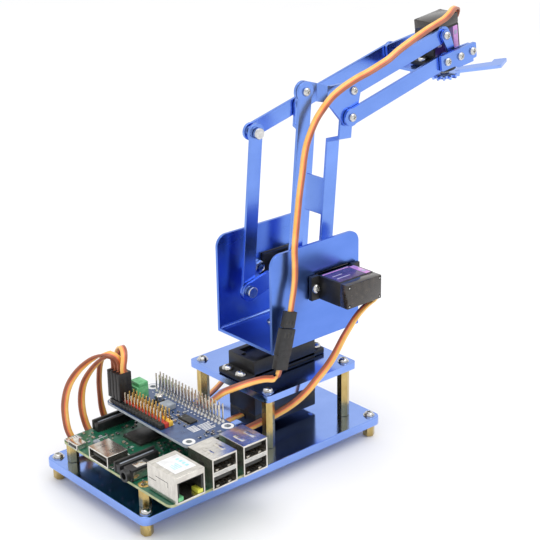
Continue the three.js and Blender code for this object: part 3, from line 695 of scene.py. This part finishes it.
def gripper_lead(socket):
    """Four stretches, cut at the joints that the lead passes, each listed with the two bodies that it runs
    between.
    """
    path = spline(GRIPPER_ROUTE)
    hints = [(0, (0, 1, 0)), (0.05, (0.1, 1, 0.1)), (0.12, (0, 0.9, 0.5)), (0.3, (-0.1, 0.55, 0.85)),
             (0.5, (-0.4, 0.35, 0.85)), (0.62, (-0.85, 0.2, 0.5)), (0.75, (-1, 0.15, 0.1)),
             (0.9, (-1, 0.1, 0)), (1, (-1, 0, 0.2))]
    widths = width_directions(path, hints)

    def nearest(q):
        return min(range(len(path)), key=lambda i: (path[i] - Vector(q)).length)

    cuts = [0, nearest((104, -23.1, 193.2)), nearest((63, -25.4, 181.4)),
            nearest((41.4, -24, 161.4)), len(path) - 1]
    spans = [
        ("gripper_lead_hand", "gripper", "forearm", (149, -14.2, 204.2), (122, -20.3, 197.7),
         ["gripper_lead_wrist"], ()),
        ("gripper_lead_forearm", "forearm", "elbow_plate", (93, -24.2, 189.2), (66, -25.3, 182.4), (), ()),
        ("gripper_lead_elbow", "elbow_plate", "main_arm", (61, -25.4, 180.8), (43, -24.4, 165),
         ["gripper_lead_arm"], ()),
        ("gripper_lead_drop", "main_arm", "turret", (40.6, -24, 159.6), (26.4, -27.4, 84.4),
         ["gripper_lead_bracket"], (socket,)),
    ]
    for i, (name, a, b, start, end, gone, pieces) in enumerate(spans):
        i0, i1 = cuts[i], cuts[i + 1]
        lead(name, path[i0:i1 + 1], widths[i0:i1 + 1], a, b, start, end, gone,
             "connector" if pieces else "object", pieces)


def header_leads(extension):
    """The leads that end at the servo header, from its first row on."""
    rows = {
        "extension_lead": ([(0, (1, 0, 0)), (0.1, (0.3, 0.8, 0.5)), (0.25, (0.35, 0.45, 0.8)),
                            (0.5, (-0.6, 0.6, 0.4)), (0.62, (-0.6, 0.8, 0)), (0.8, (-1, -0.3, 0)),
                            (1, (-1, 0, 0))],
                           "turret", "base", (11, -29.5, 48.8), (-11, -23.5, 47.6)),
        "shoulder_lead": ([(0, (0, 1, 0)), (0.12, (0, 1, 0.1)), (0.25, (-0.4, 0.8, 0.45)),
                           (0.4, (-0.3, 0.6, 0.7)), (0.6, (-0.6, 0.8, 0)), (0.78, (-0.9, 0.5, 0)),
                           (1, (-1, 0, 0))],
                          "turret", "base", (62.4, -42, 76.4), (14, -21.8, 23.6)),
        "waist_lead": ([(0, (0, 1, 0)), (0.3, (-0.3, 1, 0)), (0.5, (-0.6, 0.8, 0)),
                        (0.7, (-0.9, 0.6, 0)), (1, (-1, 0, 0))], "base"),
        "elbow_lead": ([(0, (0, 1, 0)), (0.3, (0.1, 1, 0)), (0.55, (0.1, 1, 0)), (0.75, (0.9, 0.3, 0)),
                        (1, (-1, 0, 0))],
                       "turret", "base", (70.4, 36.4, 66), (18, 32, 14.2)),
    }
    for row, (name, (hints, *blended)) in enumerate(rows.items(), 1):
        carried = [header_plug(row)] + ([extension] if row == 1 else [])
        path = spline(ROUTES[name])
        lead(name + "_ribbon", path, width_directions(path, hints), *blended, replaces=[name],
             far="connector", pieces=carried, flip=row != 4)


lead_socket, extension_plug = joined_pair()
gripper_lead(lead_socket)
header_leads(extension_plug)


# ---------------- servos
def micro_servo(name, node, body, at, tail=16.7):
    """Output axis on local Z, flange face on z = 0; tail is the case behind the axis."""
    p = Part(name, body, "smoked_plastic", at)
    r = 6.1  # half width of the case
    p.box(-tail, r, -r, r, -16.7, 0.6, "case", 0.35)
    p.box(-tail, r, -r, r, 0.5, 4.2, "case", 0.45)
    p.box(-tail + 0.2, r - 0.2, 0.2 - r, r - 0.2, -17.0, -16.5, "epoxy", 0.05)
    p.box(-tail, r, -r, r, -22.3, -16.9, "smoke", 0.5)
    low, high = -tail - 4.7, r + 4.7  # ends of the ears
    ears = prism_geo([(low, -r), (high, -r), (high, r), (low, r)], -2.5, -0.1, 0.25)
    for x in (low + 2.45, high - 2.45):
        ears = cut_away(ears, moved(SCREW_WELL, x))
        p.add(PAN_EAR, "steel", T(x, 0, -2.5) @ DOWN @ turned(25))
    p.add(ears, "case")
    # gear cover and output spline
    p.rod(5.9, 4.0, 6.9, "case", None, 32, 0.3)
    p.box(-8.6, 0, -2.6, 2.6, 4.0, 6.9, "case", 0.3)
    teeth = [(2.4 if i % 2 else 2.15, 2 * math.pi * i / 42) for i in range(42)]
    p.add(prism_geo([(r * math.cos(a), r * math.sin(a)) for r, a in teeth], 6.8, 8.8), "white")
    for x in (-tail + 1.3, 4.8):
        for y in (-4.8, 4.8):
            p.add(ring_geo(0.5, 0.95, -22.3, -22.1, 16), "epoxy", T(x, y, 0))
            p.rod(0.55, -22.3, -21.9, "steel", T(x, y, 0), 12, 0.05)
    # films on both broad sides, with plain bars and a dot for their print
    for side in (1, -1):
        m = Matrix.Scale(side, 4, (0, 1, 0))
        p.box(-tail + 1.1, 5.0, -6.2, -6.0, -15.9, -3.2, "label", 0.04, m)
        p.box(1.6, 5.02, -6.23, -6.02, -15.92, -3.18, "pink", 0.04, m)
        p.box(-tail + 1.08, 5.02, -6.23, -6.02, -4.2, -3.18, "pink", 0.04, m)
        for k, end in enumerate((-5.2, -7.4)):
            z = -12.4 + 3.4 * k
            p.box(-tail + 3, end, -6.24, -6.05, z, z + 0.9, "print", 0.03, m)
        p.rod(1.3, 0, 0.24, "print", m @ T(3.3, -6.0, -12.6) @ NEAR, 20, 0.03)
    p.done([node])


def waist_servo():
    """Standard servo with its output axis on the waist, its ears resting on the deck."""
    p = Part("waist_servo_finished", "base", "black_plastic", T(*WAIST, 41.0))
    low, high, r = -30.55, 10.15, 9.85  # ends and half width of the case
    p.box(low, high, -r, r, -19.6, 0.5, "case", 0.5)
    p.box(low + 0.2, high - 0.2, 0.2 - r, r - 0.2, -20.0, -19.4, "epoxy", 0.05)
    p.box(low, high, -r, r, -27.2, -19.9, "case", 0.7)
    # top cover with its recess over the gear train
    top = box_geo(low, high, -r, r, 0.4, 9.5, 0.6)
    recess = [(-26, -6.6), (-13, -6.6), (-9, -3.2), (-9, 3.2), (-13, 6.6), (-26, 6.6)]
    top = cut_away(top, prism_geo(recess, 8.1, 12))
    top = cut_away(top, box_geo(-29.4, -25, -1.6, 1.6, 8.7, 12))
    p.add(top, "case")
    low, high = low - 6.9, high + 6.9
    p.add(prism_geo([(low + 1, -r), (high - 1, -r), (high, 1 - r), (high, r - 1), (high - 1, r),
                     (low + 1, r), (low, r - 1), (low, 1 - r)], 0, 2.5, 0.3), "case")
    p.rod(6.8, 9.3, 10.5, "case", None, 36, 0.3)
    p.rod(2.9, 10.3, 11.6, "gold", None, 24, 0.1)
    for x in (-34.95, 14.55):
        for y in (-5, 5):
            p.add(ring_geo(1.7, 2.9, 2.45, 2.75), "epoxy", T(x, y, 0))
            p.add(PAN, "steel", T(x, y, 2.5) @ turned(20 + 13 * y))
    for x in (-28.6, 8.2):
        for y in (-7.9, 7.9):
            p.rod(1.2, -27.35, -26.9, "steel", T(x, y, 0), 16, 0.08)
    p.box(-30.9, -30.4, -2.4, 2.4, -24.4, -20.8, "housing", 0.15)
    for k in range(4):
        p.box(-29.2 + 9.6 * k, -28.7 + 9.6 * k, -9.95, -9.7, -18.2, -1.5, "case", 0.06)
    p.done(["waist_servo"])
    horn = Part("waist_horn_finished", "turret", "black_plastic", T(*WAIST, 52.9))
    horn.add(lathe_geo([(0, 0), (4.2, 0), (4.5, 0.3), (4.5, 2.0), (10.2, 2.0), (10.5, 2.3),
                        (10.5, 3.3), (10.2, 3.6), (0, 3.6)], 40), "housing")
    horn.done(["waist_horn"])


def servos():
    flange = 21.0  # from the arm's middle plane
    near = at_pivot(SHOULDER, WAIST[1] - flange) @ FAR
    far = at_pivot(SHOULDER, WAIST[1] + flange) @ NEAR
    micro_servo("shoulder_servo_finished", "shoulder_servo", "turret", near)
    micro_servo("elbow_servo_finished", "elbow_servo", "turret", far)
    micro_servo("gripper_servo_finished", "gripper_servo", "gripper",
                HAND @ T(JAW_X, -JAW_Y, -3.7) @ DOWN, 13.4)
    waist_servo()
    horn = Part("shoulder_horn_finished", "main_arm", "bright_steel",
                at_pivot(SHOULDER, WAIST[1]) @ FAR)
    horn.add(lathe_geo([(0, -11.85), (6.7, -11.85), (7, -11.55), (7, -10.15), (6.7, -9.85),
                        (0, -9.85)], 36), "housing")
    for k in range(6):
        a = math.radians(60 * k)
        horn.rod(0.6, -9.95, -9.75, "epoxy", T(5 * math.cos(a), 5 * math.sin(a), 0), 12, 0.03)
    horn.done(["shoulder_horn"])


servos()


# ---------------- plates, links and their screws
def metalwork():
    refine("base_plate", "plate", 0.45)
    refine("deck_plate", "plate", 0.4)
    refine("turret_bracket", "sheet", 0.3, merge=False)
    for node in ("main_arm", "forearm_near_bar", "forearm_far_bar", "upper_level_link",
                 "lower_level_link", "elbow_plate", "crank_lever", "rear_link", "gripper_frame",
                 "wrist_ear"):
        refine(node, "bar", 0.25)
    for node in ("drive_jaw", "driven_jaw"):
        refine(node, "plate", 0.15)
    for node in ("crank_pin", "tail_pivot", "forearm_spacer"):
        refine(node, "steel", 0.2)

    # the rounded inside of the bracket's two folds, in the lighter plate blue as a painted highlight line
    # along each fold
    low, high = (TO_FRAME.inverted() @ Vector(c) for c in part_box("turret_bracket"))
    half = (high.x - low.x) / 2 - 0.4
    arc = [(FOLD * (1 - math.sin(a)), FOLD * (1 - math.cos(a)))
           for a in (math.radians(15 * k) for k in range(7))]
    fold = Part("bracket_folds_painted_highlight", "turret", "anodised_blue")
    for y, angle in ((high.y - SHEET, 0), (low.y + SHEET, 180)):
        fold.add(prism_geo([(-0.2, -0.2)] + arc, -half, half), "plate",
                 T((low.x + high.x) / 2, y, low.z + SHEET) @ turned(angle) @ ALONG)
    fold.done()


def brass():
    posts = Part("deck_standoffs_finished", "base", "brass")
    gone = []
    for i, (x, y) in enumerate(corners(*DECK), 1):
        at = T(x, y, BASE_TOP) @ turned(30)
        posts.add(hex_geo(5.4, 0.05, 26.15, 0.35), "brass", at)
        posts.add(ring_geo(1.5, 2.5, 26.0, 26.19, 20), "brass", at)
        gone.append(f"deck_standoff_{i}")
    posts.done(gone)
    small = Part("board_standoffs_finished", "base", "brass")
    for u, v in HOLES:
        small.add(hex_geo(5.0, 0.05, 9.65, 0.35), "brass", at_board(u, v, BASE_TOP) @ turned(30))
    small.done([f"board_standoff_{i}" for i in range(1, 5)])
    feet = Part("feet_finished", "base", "brass")
    for x, y in corners(*FEET):
        feet.add(hex_geo(5.2, 0, 6.45, 0.4), "brass", T(x, y, 0) @ turned(30))
    feet.done([f"foot_{i}" for i in range(1, 5)])


def screws():
    base = Part("base_screws", "base", "bright_steel")
    tops = [(*c, BASE_TOP) for c in corners(*FEET)] + [(*c, DECK_TOP) for c in corners(*DECK)]
    for k, (x, y, z) in enumerate(tops):
        base.add(ring_geo(1.5, 2.9, 0, 0.35), "steel", T(x, y, z))
        base.add(PAN_BASE, "steel", T(x, y, z + 0.3) @ turned(17 + 37 * k))
    for k, (x, y) in enumerate(corners(*DECK)):
        base.add(PAN, "steel", T(x, y, BASE_UNDER) @ DOWN @ turned(20 * k))
    for k, (u, v) in enumerate(HOLES):
        base.add(PAN, "steel", at_board(u, v, BASE_UNDER) @ DOWN @ turned(31 * k))
    base.done()

    turret = Part("turret_screws", "turret", "bright_steel")
    floor = T(*WAIST, 58.3)
    for k in range(4):
        around = turned(25 + 90 * k) @ T(8.6, 0, 0) @ turned(-25 - 59 * k)
        turret.add(PAN_EAR, "steel", floor @ around)
    turret.add(PAN_SMALL, "steel", floor @ turned(12))
    turret.add(PAN_SMALL, "steel", at_pivot(LOWER_FOOT, -18.4) @ FAR @ turned(22))
    turret.rod(2.4, 0, 1.6, "steel", at_pivot(LOWER_FOOT, -21.55) @ FAR)
    for dx in (-18.95, 8.35):  # on the inside of both walls
        turret.add(NUT, "steel", at_pivot(SHOULDER, -21.5, dx) @ FAR @ turned(11))
        turret.add(NUT, "steel", at_pivot(SHOULDER, 16.8, dx) @ NEAR @ turned(19))
    turret.done()

    def heads(name, body, rows):
        """rows: (shape, pivot, y of the face that it sits on, direction)."""
        p = Part(name, body, "bright_steel")
        for k, (geo, pivot, y, side) in enumerate(rows):
            p.add(geo, "steel", at_pivot(pivot, y) @ side @ turned(23 + 41 * k))
        p.done()

    bolts = [shift(WRIST, (u * math.cos(PITCH), u * math.sin(PITCH))) for u in (9.6, 18.6)]
    heads("main_arm_screws", "main_arm", [
        (PAN_SMALL, SHOULDER, -10.4, FAR), (NUT_SMALL, ELBOW, -18.35, FAR),
        (NUT_SMALL, ELBOW, 12.25, NEAR)])
    heads("forearm_screws", "forearm", [
        (PAN_SMALL, ELBOW, -23.5, NEAR), (PAN_SMALL, ELBOW, 15.6, FAR),
        (PAN_SMALL, TAIL, 15.6, FAR), (PAN_SMALL, WRIST, 15.6, FAR)])
    heads("elbow_plate_screws", "elbow_plate", [
        (PAN_SMALL, LOWER_HEAD, -19.9, NEAR), (NUT_SMALL, LOWER_HEAD, -16.6, FAR),
        (PAN_SMALL, UPPER_REAR, -21.7, NEAR), (NUT_SMALL, UPPER_REAR, -18.35, FAR)])
    heads("gripper_screws", "gripper", [
        (PAN_SMALL, WRIST, -25.3, NEAR), (PAN_SMALL, UPPER_FRONT, -21.7, NEAR),
        (NUT_SMALL, UPPER_FRONT, -18.35, FAR), *((PAN_SMALL, bolt, -25.3, NEAR) for bolt in bolts)])
    ear = Part("wrist_ear_spacers", "gripper", "bright_steel")
    for bolt in bolts:
        ear.add(ring_geo(1.3, 2.4, 0, 2.1, 20), "steel", at_pivot(bolt, -23.8) @ FAR)
    ear.done()
    for jaw, y in (("drive_jaw", -JAW_Y), ("driven_jaw", JAW_Y)):
        p = Part(jaw + "_screw", jaw, "bright_steel", HAND)
        p.add(PAN_SMALL, "steel", T(JAW_X, y, -14.55) @ DOWN)
        p.done()


metalwork()
brass()
screws()


# ---------------- small parts of the boards
def chip(p, x0, x1, y0, y1, h, legs, sides="x", z=0):
    """Chip with a dot at its first leg; its legs point along the axes named in sides."""
    p.box(x0, x1, y0, y1, z + 0.1, z + h, "epoxy")
    p.rod(0.35, z + h - 0.05, z + h + 0.03, "grey", T(x0 + 1.1, y1 - 1.1, 0), 12, 0.01)
    x, y, rx, ry = (x0 + x1) / 2, (y0 + y1) / 2, (x1 - x0) / 2, (y1 - y0) / 2
    for i in range(legs):
        f = (2 * i + 1) / legs - 1  # place along the side, from -1 to 1
        for s in (-1, 1):
            if "x" in sides:
                p.post(x + s * (rx + 0.45), y + f * ry, 0.45, 0.13, z, z + 0.3, "pin", 0.04)
            if "y" in sides:
                p.post(x + f * rx, y + s * (ry + 0.45), 0.13, 0.45, z, z + 0.3, "pin", 0.04)


def smd(p, x, y, along_x, size, mat):
    """Small part of size (length, width, height) with a soldered cap on both ends."""
    l, w, h = size
    m = T(x, y, 0) @ turned(0 if along_x else 90)
    p.post(0, 0, l / 2, w / 2, 0, h, mat, 0.05, m)
    for s in (-1, 1):
        p.post(s * 0.39 * l, 0, 0.11 * l + 0.02, w / 2 + 0.03, 0, h + 0.03, "solder", 0.05, m)


def scatter(p, rng, x0, x1, y0, y1, count, taken):
    """count small parts at random places that keep clear of the boxes in taken."""
    tries = 0
    while count and tries < 4000:
        tries += 1
        x, y = rng.uniform(x0, x1), rng.uniform(y0, y1)
        if any(a - 1.2 < x < b + 1.2 and c - 1.2 < y < d + 1.2 for a, b, c, d in taken):
            continue
        size = rng.choice(((1.0, 0.5, 0.4), (1.6, 0.8, 0.6), (1.6, 0.8, 0.6), (2.0, 1.2, 0.8)))
        smd(p, x, y, rng.random() < 0.5, size, rng.choice(("cap", "cap", "epoxy", "epoxy", "grey")))
        taken.append((x - 0.9, x + 0.9, y - 0.9, y + 0.9))
        count -= 1


def print_bars(p, bars, h=0.06):
    """Plain bars (x0, x1, y0, y1) in the board's white print."""
    for x0, x1, y0, y1 in bars:
        p.box(x0, x1, y0, y1, 0.01, 0.01 + h, "silk", 0)


# ---------------- computer board
def computer_top():
    refine("computer_board", "mask", 0.08, edge="laminate")
    p = Part("board_components", "base", "green_board", T(0, 0, BOARD_TOP))
    for u, v in HOLES:
        p.add(ring_geo(1.42, 3.0, 0, 0.06), "gold", at_board(u, v, 0))
    taken = [(-74, -58, -3, 14), (-74, -46, -16, -4)]
    # processor and network chip
    chip(p, -47.0, -33.0, -0.5, 13.5, 1.2, 14, "xy")
    p.box(-45.4, -34.6, 1.1, 11.9, 1.15, 1.35, "epoxy", 0.1)
    chip(p, -44.0, -35.0, -33.5, -24.5, 0.9, 9, "xy")
    taken += [(-49, -31, -2.5, 15.5), (-46, -33, -35.5, -22.5)]
    # display and camera connectors
    for x0, x1, y in ((-53.6, -31.4, 27.2), (-70.2, -48.0, -14.15)):
        p.box(x0, x1, y - 2.2, y + 1.2, 0, 4.4, "housing", 0.2)
        p.box(x0 - 0.3, x1 + 0.3, y + 1.0, y + 2.3, 0.4, 5.4, "epoxy", 0.2)
        p.box(x0 + 1.6, x1 - 1.6, y - 0.5, y + 0.3, 4.35, 4.45, "grey", 0.04)
        for i in range(15):
            x = x0 + 2.2 + (x1 - x0 - 4.4) * i / 14
            p.post(x, y - 2.55, 0.15, 0.45, 0, 0.3, "pin", 0.04)
        taken.append((x0 - 1, x1 + 1, y - 4, y + 3.4))
    # audio socket
    y = BOARD[1] - 53.5
    p.box(-70.3, -58.3, y - 3.1, y + 3.1, 0, 5.8, "housing", 0.3)
    mouth = T(-72.8, y, 2.95) @ Matrix.Rotation(math.pi / 2, 4, "Y")
    p.add(ring_geo(1.75, 2.95, 0, 2.6), "housing", mouth)
    p.box(-69.4, -60.5, y - 3.2, y - 2.9, 0.6, 4.6, "shell", 0.08)
    p.box(-66.6, -60.8, y - 2.0, y + 2.0, 5.75, 5.92, "shell", 0.05)
    taken.append((-74, -57, y - 4, y + 4))
    # power socket and antenna patch
    y = BOARD[1] - 10.6
    p.box(-71.6, -66.0, y - 3.9, y + 3.9, 0, 2.7, "shell", 0.35)
    p.box(-71.75, -71.3, y - 3.2, y + 3.2, 0.6, 2.2, "epoxy", 0.15)
    for i in range(6):
        p.box(-69.6 + 1.25 * i, -69.0 + 1.25 * i, 25.6, 30.2, 0.01, 0.12, "silk", 0.02)
        p.box(-69.9, -62.2, 25.4 + 0.85 * i, 25.8 + 0.85 * i, 0.03, 0.14, "solder", 0.02)
    taken += [(-74, -65, y - 5, y + 5), (-71, -61, 24, 31)]
    print_bars(p, [(-56, -50.4, -6.6, -6.2), (-56, -55.6, -6.6, 5), (-60, -52, 19.4, 19.7),
                   (-50, -44, -20, -19.6), (-52, -49.5, 1.4, 1.7), (-52, -49.5, 2.4, 2.7),
                   (-57.5, -56.8, 8, 15)])
    # capacitors
    for y in (16.2, -6.3):
        p.rod(1.7, 0, 1.5, "grey", T(-60.5, y, 0), 20, 0.2)
        taken.append((-62.5, -58.5, y - 2.2, y + 2.2))
    taken += [(-22, -12, -30, 31), (-72, -14, -60, -34.5)]
    scatter(p, random.Random(5), -69.5, -24, -34, 29.5, 120, taken)
    p.box(-70.0, -67.6, -9.9, -9.2, 0, 0.6, "solder", 0.1)
    p.done()


def computer_underside():
    """Card slot, memory chip, small parts and the header's solder joints."""
    p = Part("board_underside", "base", "green_board", T(0, 0, BOARD_UNDER))
    p.box(-47, -40, 26.5, 30.5, -0.85, 0.6, "shell", 0.15)
    chip(p, -42, -30, -14, -2, 1.15, 10, "xy", -0.55)
    taken = [(-49, -38, 24, 32), (-44, -28, -16, 0)]
    taken += [(BOARD[0] + v - 4, BOARD[0] + v + 4, BOARD[1] - u - 4, BOARD[1] - u + 4)
              for u, v in HOLES]
    rng = random.Random(9)
    for _ in range(46):
        x, y = rng.uniform(-68, -18), rng.uniform(-50, 28)
        if any(a < x < b and c < y < d for a, b, c, d in taken):
            continue
        smd(p, x, y, rng.random() < 0.5, (1.6, 0.8, 0.62), rng.choice(("cap", "epoxy")))
    for x, y in header_pins():
        p.rod(0.75, 0, 0.67, "solder", T(x, y, 0), 10, 0.2)
    p.done()


def header_pins():
    return [(HEADER[0] + STEP * i, HEADER[1] - STEP * j) for j in range(20) for i in range(2)]


def port(p, x, y, z0, z1):
    """Lining, tongue and contacts of one USB port that opens towards -Y at y."""
    p.post(x, y + 14, 6.35, 0.4, z0, z1, "epoxy", 0.05)
    p.post(x, y + 8, 5.4, 6, z1 - 3.1, z1 - 1.2, "epoxy")
    for i in range(4):
        p.post(x - 3.6 + 2.4 * i, y + 5.8, 0.45, 3.2, z1 - 3.22, z1 - 3.05, "gold", 0.03)
    for s in (-1, 1):
        p.post(x + s * 3.4, y + 3.6, 0.9, 2.4, z0 + 0.02, z0 + 0.35, "shell", 0.1)


def sockets():
    for node in ("usb_socket_1", "usb_socket_2", "network_socket", "video_socket"):
        refine(node, "shell", 0.14)
    p = Part("socket_linings", "base", "bright_steel", T(0, 0, BOARD_TOP + 0.3))
    end = BOARD[1] - 85
    # two double USB sockets: ports, the strip between them, springs
    for x in (BOARD[0] + 29, BOARD[0] + 47):
        for low, high in ((0.85, 6.55), (8.95, 14.65)):
            port(p, x, end - 3, low, high)
        p.post(x, end - 2.8, 6.3, 0.2, 6.75, 8.75, "white")
        for k in (-1, 1):
            for low in (2, 10):
                p.post(x + k * 7.15, end + 4.75, 0.12, 1.75, low, low + 2, "epoxy", 0.04)
            p.post(x + k * 3.1, end + 4.75, 1.1, 3.25, 15.55, 15.72, "shell", 0.05)
    # network socket: lining, contacts, two lamps and a plain label
    x = BOARD[0] + 10.25
    p.post(x, end + 16, 7.2, 0.4, 1.1, 10.4, "epoxy", 0.05)
    for k in (-1, 1):
        p.post(x + k * 6.725, end + 7.2, 0.525, 8.8, 1.1, 10.4, "epoxy", 0.05)
    p.post(x, end + 7.2, 7.2, 8.8, 9.9, 10.45, "epoxy", 0.05)
    for i in range(8):
        p.post(x - 3.5 + i, end + 7.5, 0.18, 4.5, 8.6, 8.9, "gold", 0.04)
    for dx, mat in ((-5.45, "green"), (5.45, "lamp")):
        p.post(x + dx, end + 0.6, 1.45, 2.4, 1.15, 3.1, mat, 0.2)
    p.box(x - 5.6, x + 6.2, end + 1.5, end + 15.5, 13.28, 13.42, "silk", 0.04)
    for i in range(4):
        p.box(x - 3.4 + 1.2 * i, x - 2.9 + 1.2 * i, end + 4.5, end + 8.5 + (i % 2),
              13.38, 13.48, "cyan", 0.02)
        p.post(x + 3.4, end + 4.7 + 2.3 * i, 0.8, 0.7, 13.38, 13.48, "cyan", 0.02)
    # cut lines of the shell's spring on its outer side
    p.box(x - 8.06, x - 7.9, end + 4, end + 13, 8.6, 8.8, "epoxy", 0.02)
    p.box(x - 8.06, x - 7.9, end + 4, end + 4.2, 6.4, 8.8, "epoxy", 0.02)
    p.box(x - 8.1, x - 7.9, end + 13, end + 18, 6.2, 6.4, "epoxy", 0.02)
    # video socket: tongue and pressed marks
    y = BOARD[1] - 32
    p.box(-70.6, -63, y - 5.0, y + 5.0, 2.4, 3.6, "epoxy", 0.15)
    p.box(-63.2, -62.5, y - 6.8, y + 6.8, 0.9, 5.3, "epoxy", 0.05)
    for i in range(9):
        p.post(-68.1, y - 3.95 + i, 2.1, 0.25, 3.56, 3.68, "gold", 0.02)
    for k in (-1, 1):
        p.add(ring_geo(0.9, 1.15, 0, 0.08, 4), "epoxy", T(-66.4, y + 3.6 * k, 6.16) @ turned(45))
        for dy in (-1.325, 1.325):
            p.post(-66.6, y + 3.6 * k + dy, 2, 0.075, 6.15, 6.24, "epoxy", 0.02)
    p.done()


def stacking_header():
    p = Part("stacking_header_finished", "base", "black_plastic")
    p.box(-20.6, -15.6, -27.05, 23.75, 22.4, 30.9, "housing", 0.2)
    for j in range(20):
        p.post(-18.1, 23.7 - STEP * j, 2.65, 0.15, 22.6, 30.8, "epoxy", 0.05)
    p.box(-19.9, -16.3, -26.8, 23.5, 30.8, 32.38, "epoxy", 0.1)
    p.done(["stacking_header"])


# ---------------- driver board
def long_pins():
    """The 40 pins that pass through the driver board, on their solder cones."""
    p = Part("long_pins", "base", "pins", T(0, 0, DRIVER_TOP))
    cone = lathe_geo([(0, 0), (0.95, 0), (0.8, 0.35), (0.42, 1.1), (0.3, 1.5), (0, 1.5)], 12)
    for x, y in header_pins():
        p.add(cone, "solder", T(x, y, 0))
        p.post(x, y, 0.3, 0.3, 0.1, 9.5, "pin", 0.1)
    p.done(["pin_header"])


def servo_header():
    """Three rows of sixteen; plugs cover the first four pins of each row."""
    p = Part("servo_header_finished", "base", "black_plastic", T(0, 0, DRIVER_TOP))
    rows = (("housing", "pin"), ("red_bed", "gold"), ("yellow_bed", "gold"))
    for i, (bed, pin) in enumerate(rows):
        x = SERVO_ROW + STEP * (i - 1)
        for j in range(16):
            y = BOARD[1] - 3.18 - STEP * (j + 0.5)
            p.post(x, y, 1.2, 1.25, 0.05, 2.6, bed, 0.3)
            if j >= 4:
                p.post(x, y, 0.27, 0.27, 2.4, 9.0, pin)
    p.done(["servo_header"])


def terminal_block():
    p = Part("terminal_block_finished", "base", "terminal_green", T(-30.0, 22.85, DRIVER_TOP + 0.3))
    p.post(0, 0, 3.4, 3.6, 0, 6.6, "green", 0.2)
    p.box(-2.2, 3.4, -3.6, 3.6, 6.2, 8.5, "green", 0.4)
    for y in (-1.75, 1.75):
        p.add(ring_geo(0.9, 1.4, 8.3, 8.56, 20), "green", T(0.6, y, 0))
        p.rod(1.1, 7.6, 8.2, "solder", T(0.6, y, 0), 16, 0.1)
        p.post(-3.34, y, 0.14, 1.2, 1.2, 4.4, "epoxy", 0.1)
    p.done(["terminal_block"])


def driver_top():
    refine("driver_board", "mask_blue", 0.08, edge="laminate_grey")
    p = Part("driver_components", "base", "blue_board", T(0, 0, DRIVER_TOP))
    for u in (3.5, 61.5):
        for v in (29.5, 52.5):
            p.add(ring_geo(1.45, 3.0, 0, 0.12, 32), "silk", at_board(u, v, 0))
            p.add(ring_geo(1.38, 1.6, -0.3, 0.16, 32), "solder", at_board(u, v, 0))
    # coil, controllers and the round capacitor
    p.box(-30.6, -24.6, 0.2, 6.6, 0, 2.9, "grey", 0.5)
    p.box(-30.9, -24.3, 1.4, 5.4, 0, 0.8, "solder", 0.1)
    chip(p, -30.2, -25.8, -17.8, -8.6, 1.05, 14)
    chip(p, -32.6, -29.2, 10.6, 14.6, 1.2, 4)
    p.rod(1.9, 0, 3.4, "shell", T(-25.6, 12.4, 0), 24, 0.35)
    p.post(-25.6, 12.4, 2.1, 2.1, 0, 0.9, "epoxy", 0.2)
    # marks beside both headers, and two blocks of plain bars
    print_bars(p, [(-35.9, -35.2, 25.85 - STEP * j, 26.55 - STEP * j) for j in range(16)], 0.07)
    print_bars(p, [(-22.2, -21.6, 22.0 - STEP * j, 22.9 - STEP * j) for j in range(18)], 0.07)
    print_bars(p, [(-33.8, -29.4, -20.2 - 1.15 * j, -19.6 - 1.15 * j) for j in range(5)], 0.08)
    print_bars(p, [(-28.6, -28.6 + w, -21.4 - 1.15 * j, -20.9 - 1.15 * j)
                   for j, w in enumerate((7.2, 6.4, 7.2, 5.2, 7.0, 6.2))], 0.08)
    taken = [(-45, -34.5, -30, 32), (-34, -25, 18, 28), (-31.5, -23.6, -0.6, 7.4),
             (-31.6, -24.6, -18.6, -7.8), (-33.4, -23, 9.8, 15.2), (-34.4, -20, -28.5, -19),
             (-23, -14, -34, 32), (-21, -14, 25, 34), (-46, -38, 24, 34), (-46, -38, -36, -27),
             (-21, -14, -36, -26)]
    scatter(p, random.Random(3), -43.5, -16, -33.2, 29.8, 62, taken)
    p.done()


computer_top()
computer_underside()
sockets()
stacking_header()
long_pins()
servo_header()
terminal_block()
driver_top()


# ---------------- floor and studio light, in metres
def studio():
    bpy.ops.mesh.primitive_plane_add(size=6, location=(0, 0, -0.0002))
    floor = bpy.context.object
    floor.name = "studio_floor"
    floor.data.materials.append(M["floor"])

    world = bpy.data.worlds.new("studio")
    bpy.context.scene.world = world
    world.use_nodes = True
    sky = world.node_tree.nodes["Background"]
    sky.inputs["Color"].default_value = (1.0, 1.0, 1.0, 1)
    sky.inputs["Strength"].default_value = 1.0
    area("key", (0.5, -0.9, 1.3), (0, 0, 0.08), (0.9, 0.9), 6.5)
    area("top", (-0.2, 0.2, 1.5), (0, 0, 0.1), (1.2, 1.2), 5)
    bpy.context.scene.view_settings.view_transform = "Standard"


studio()
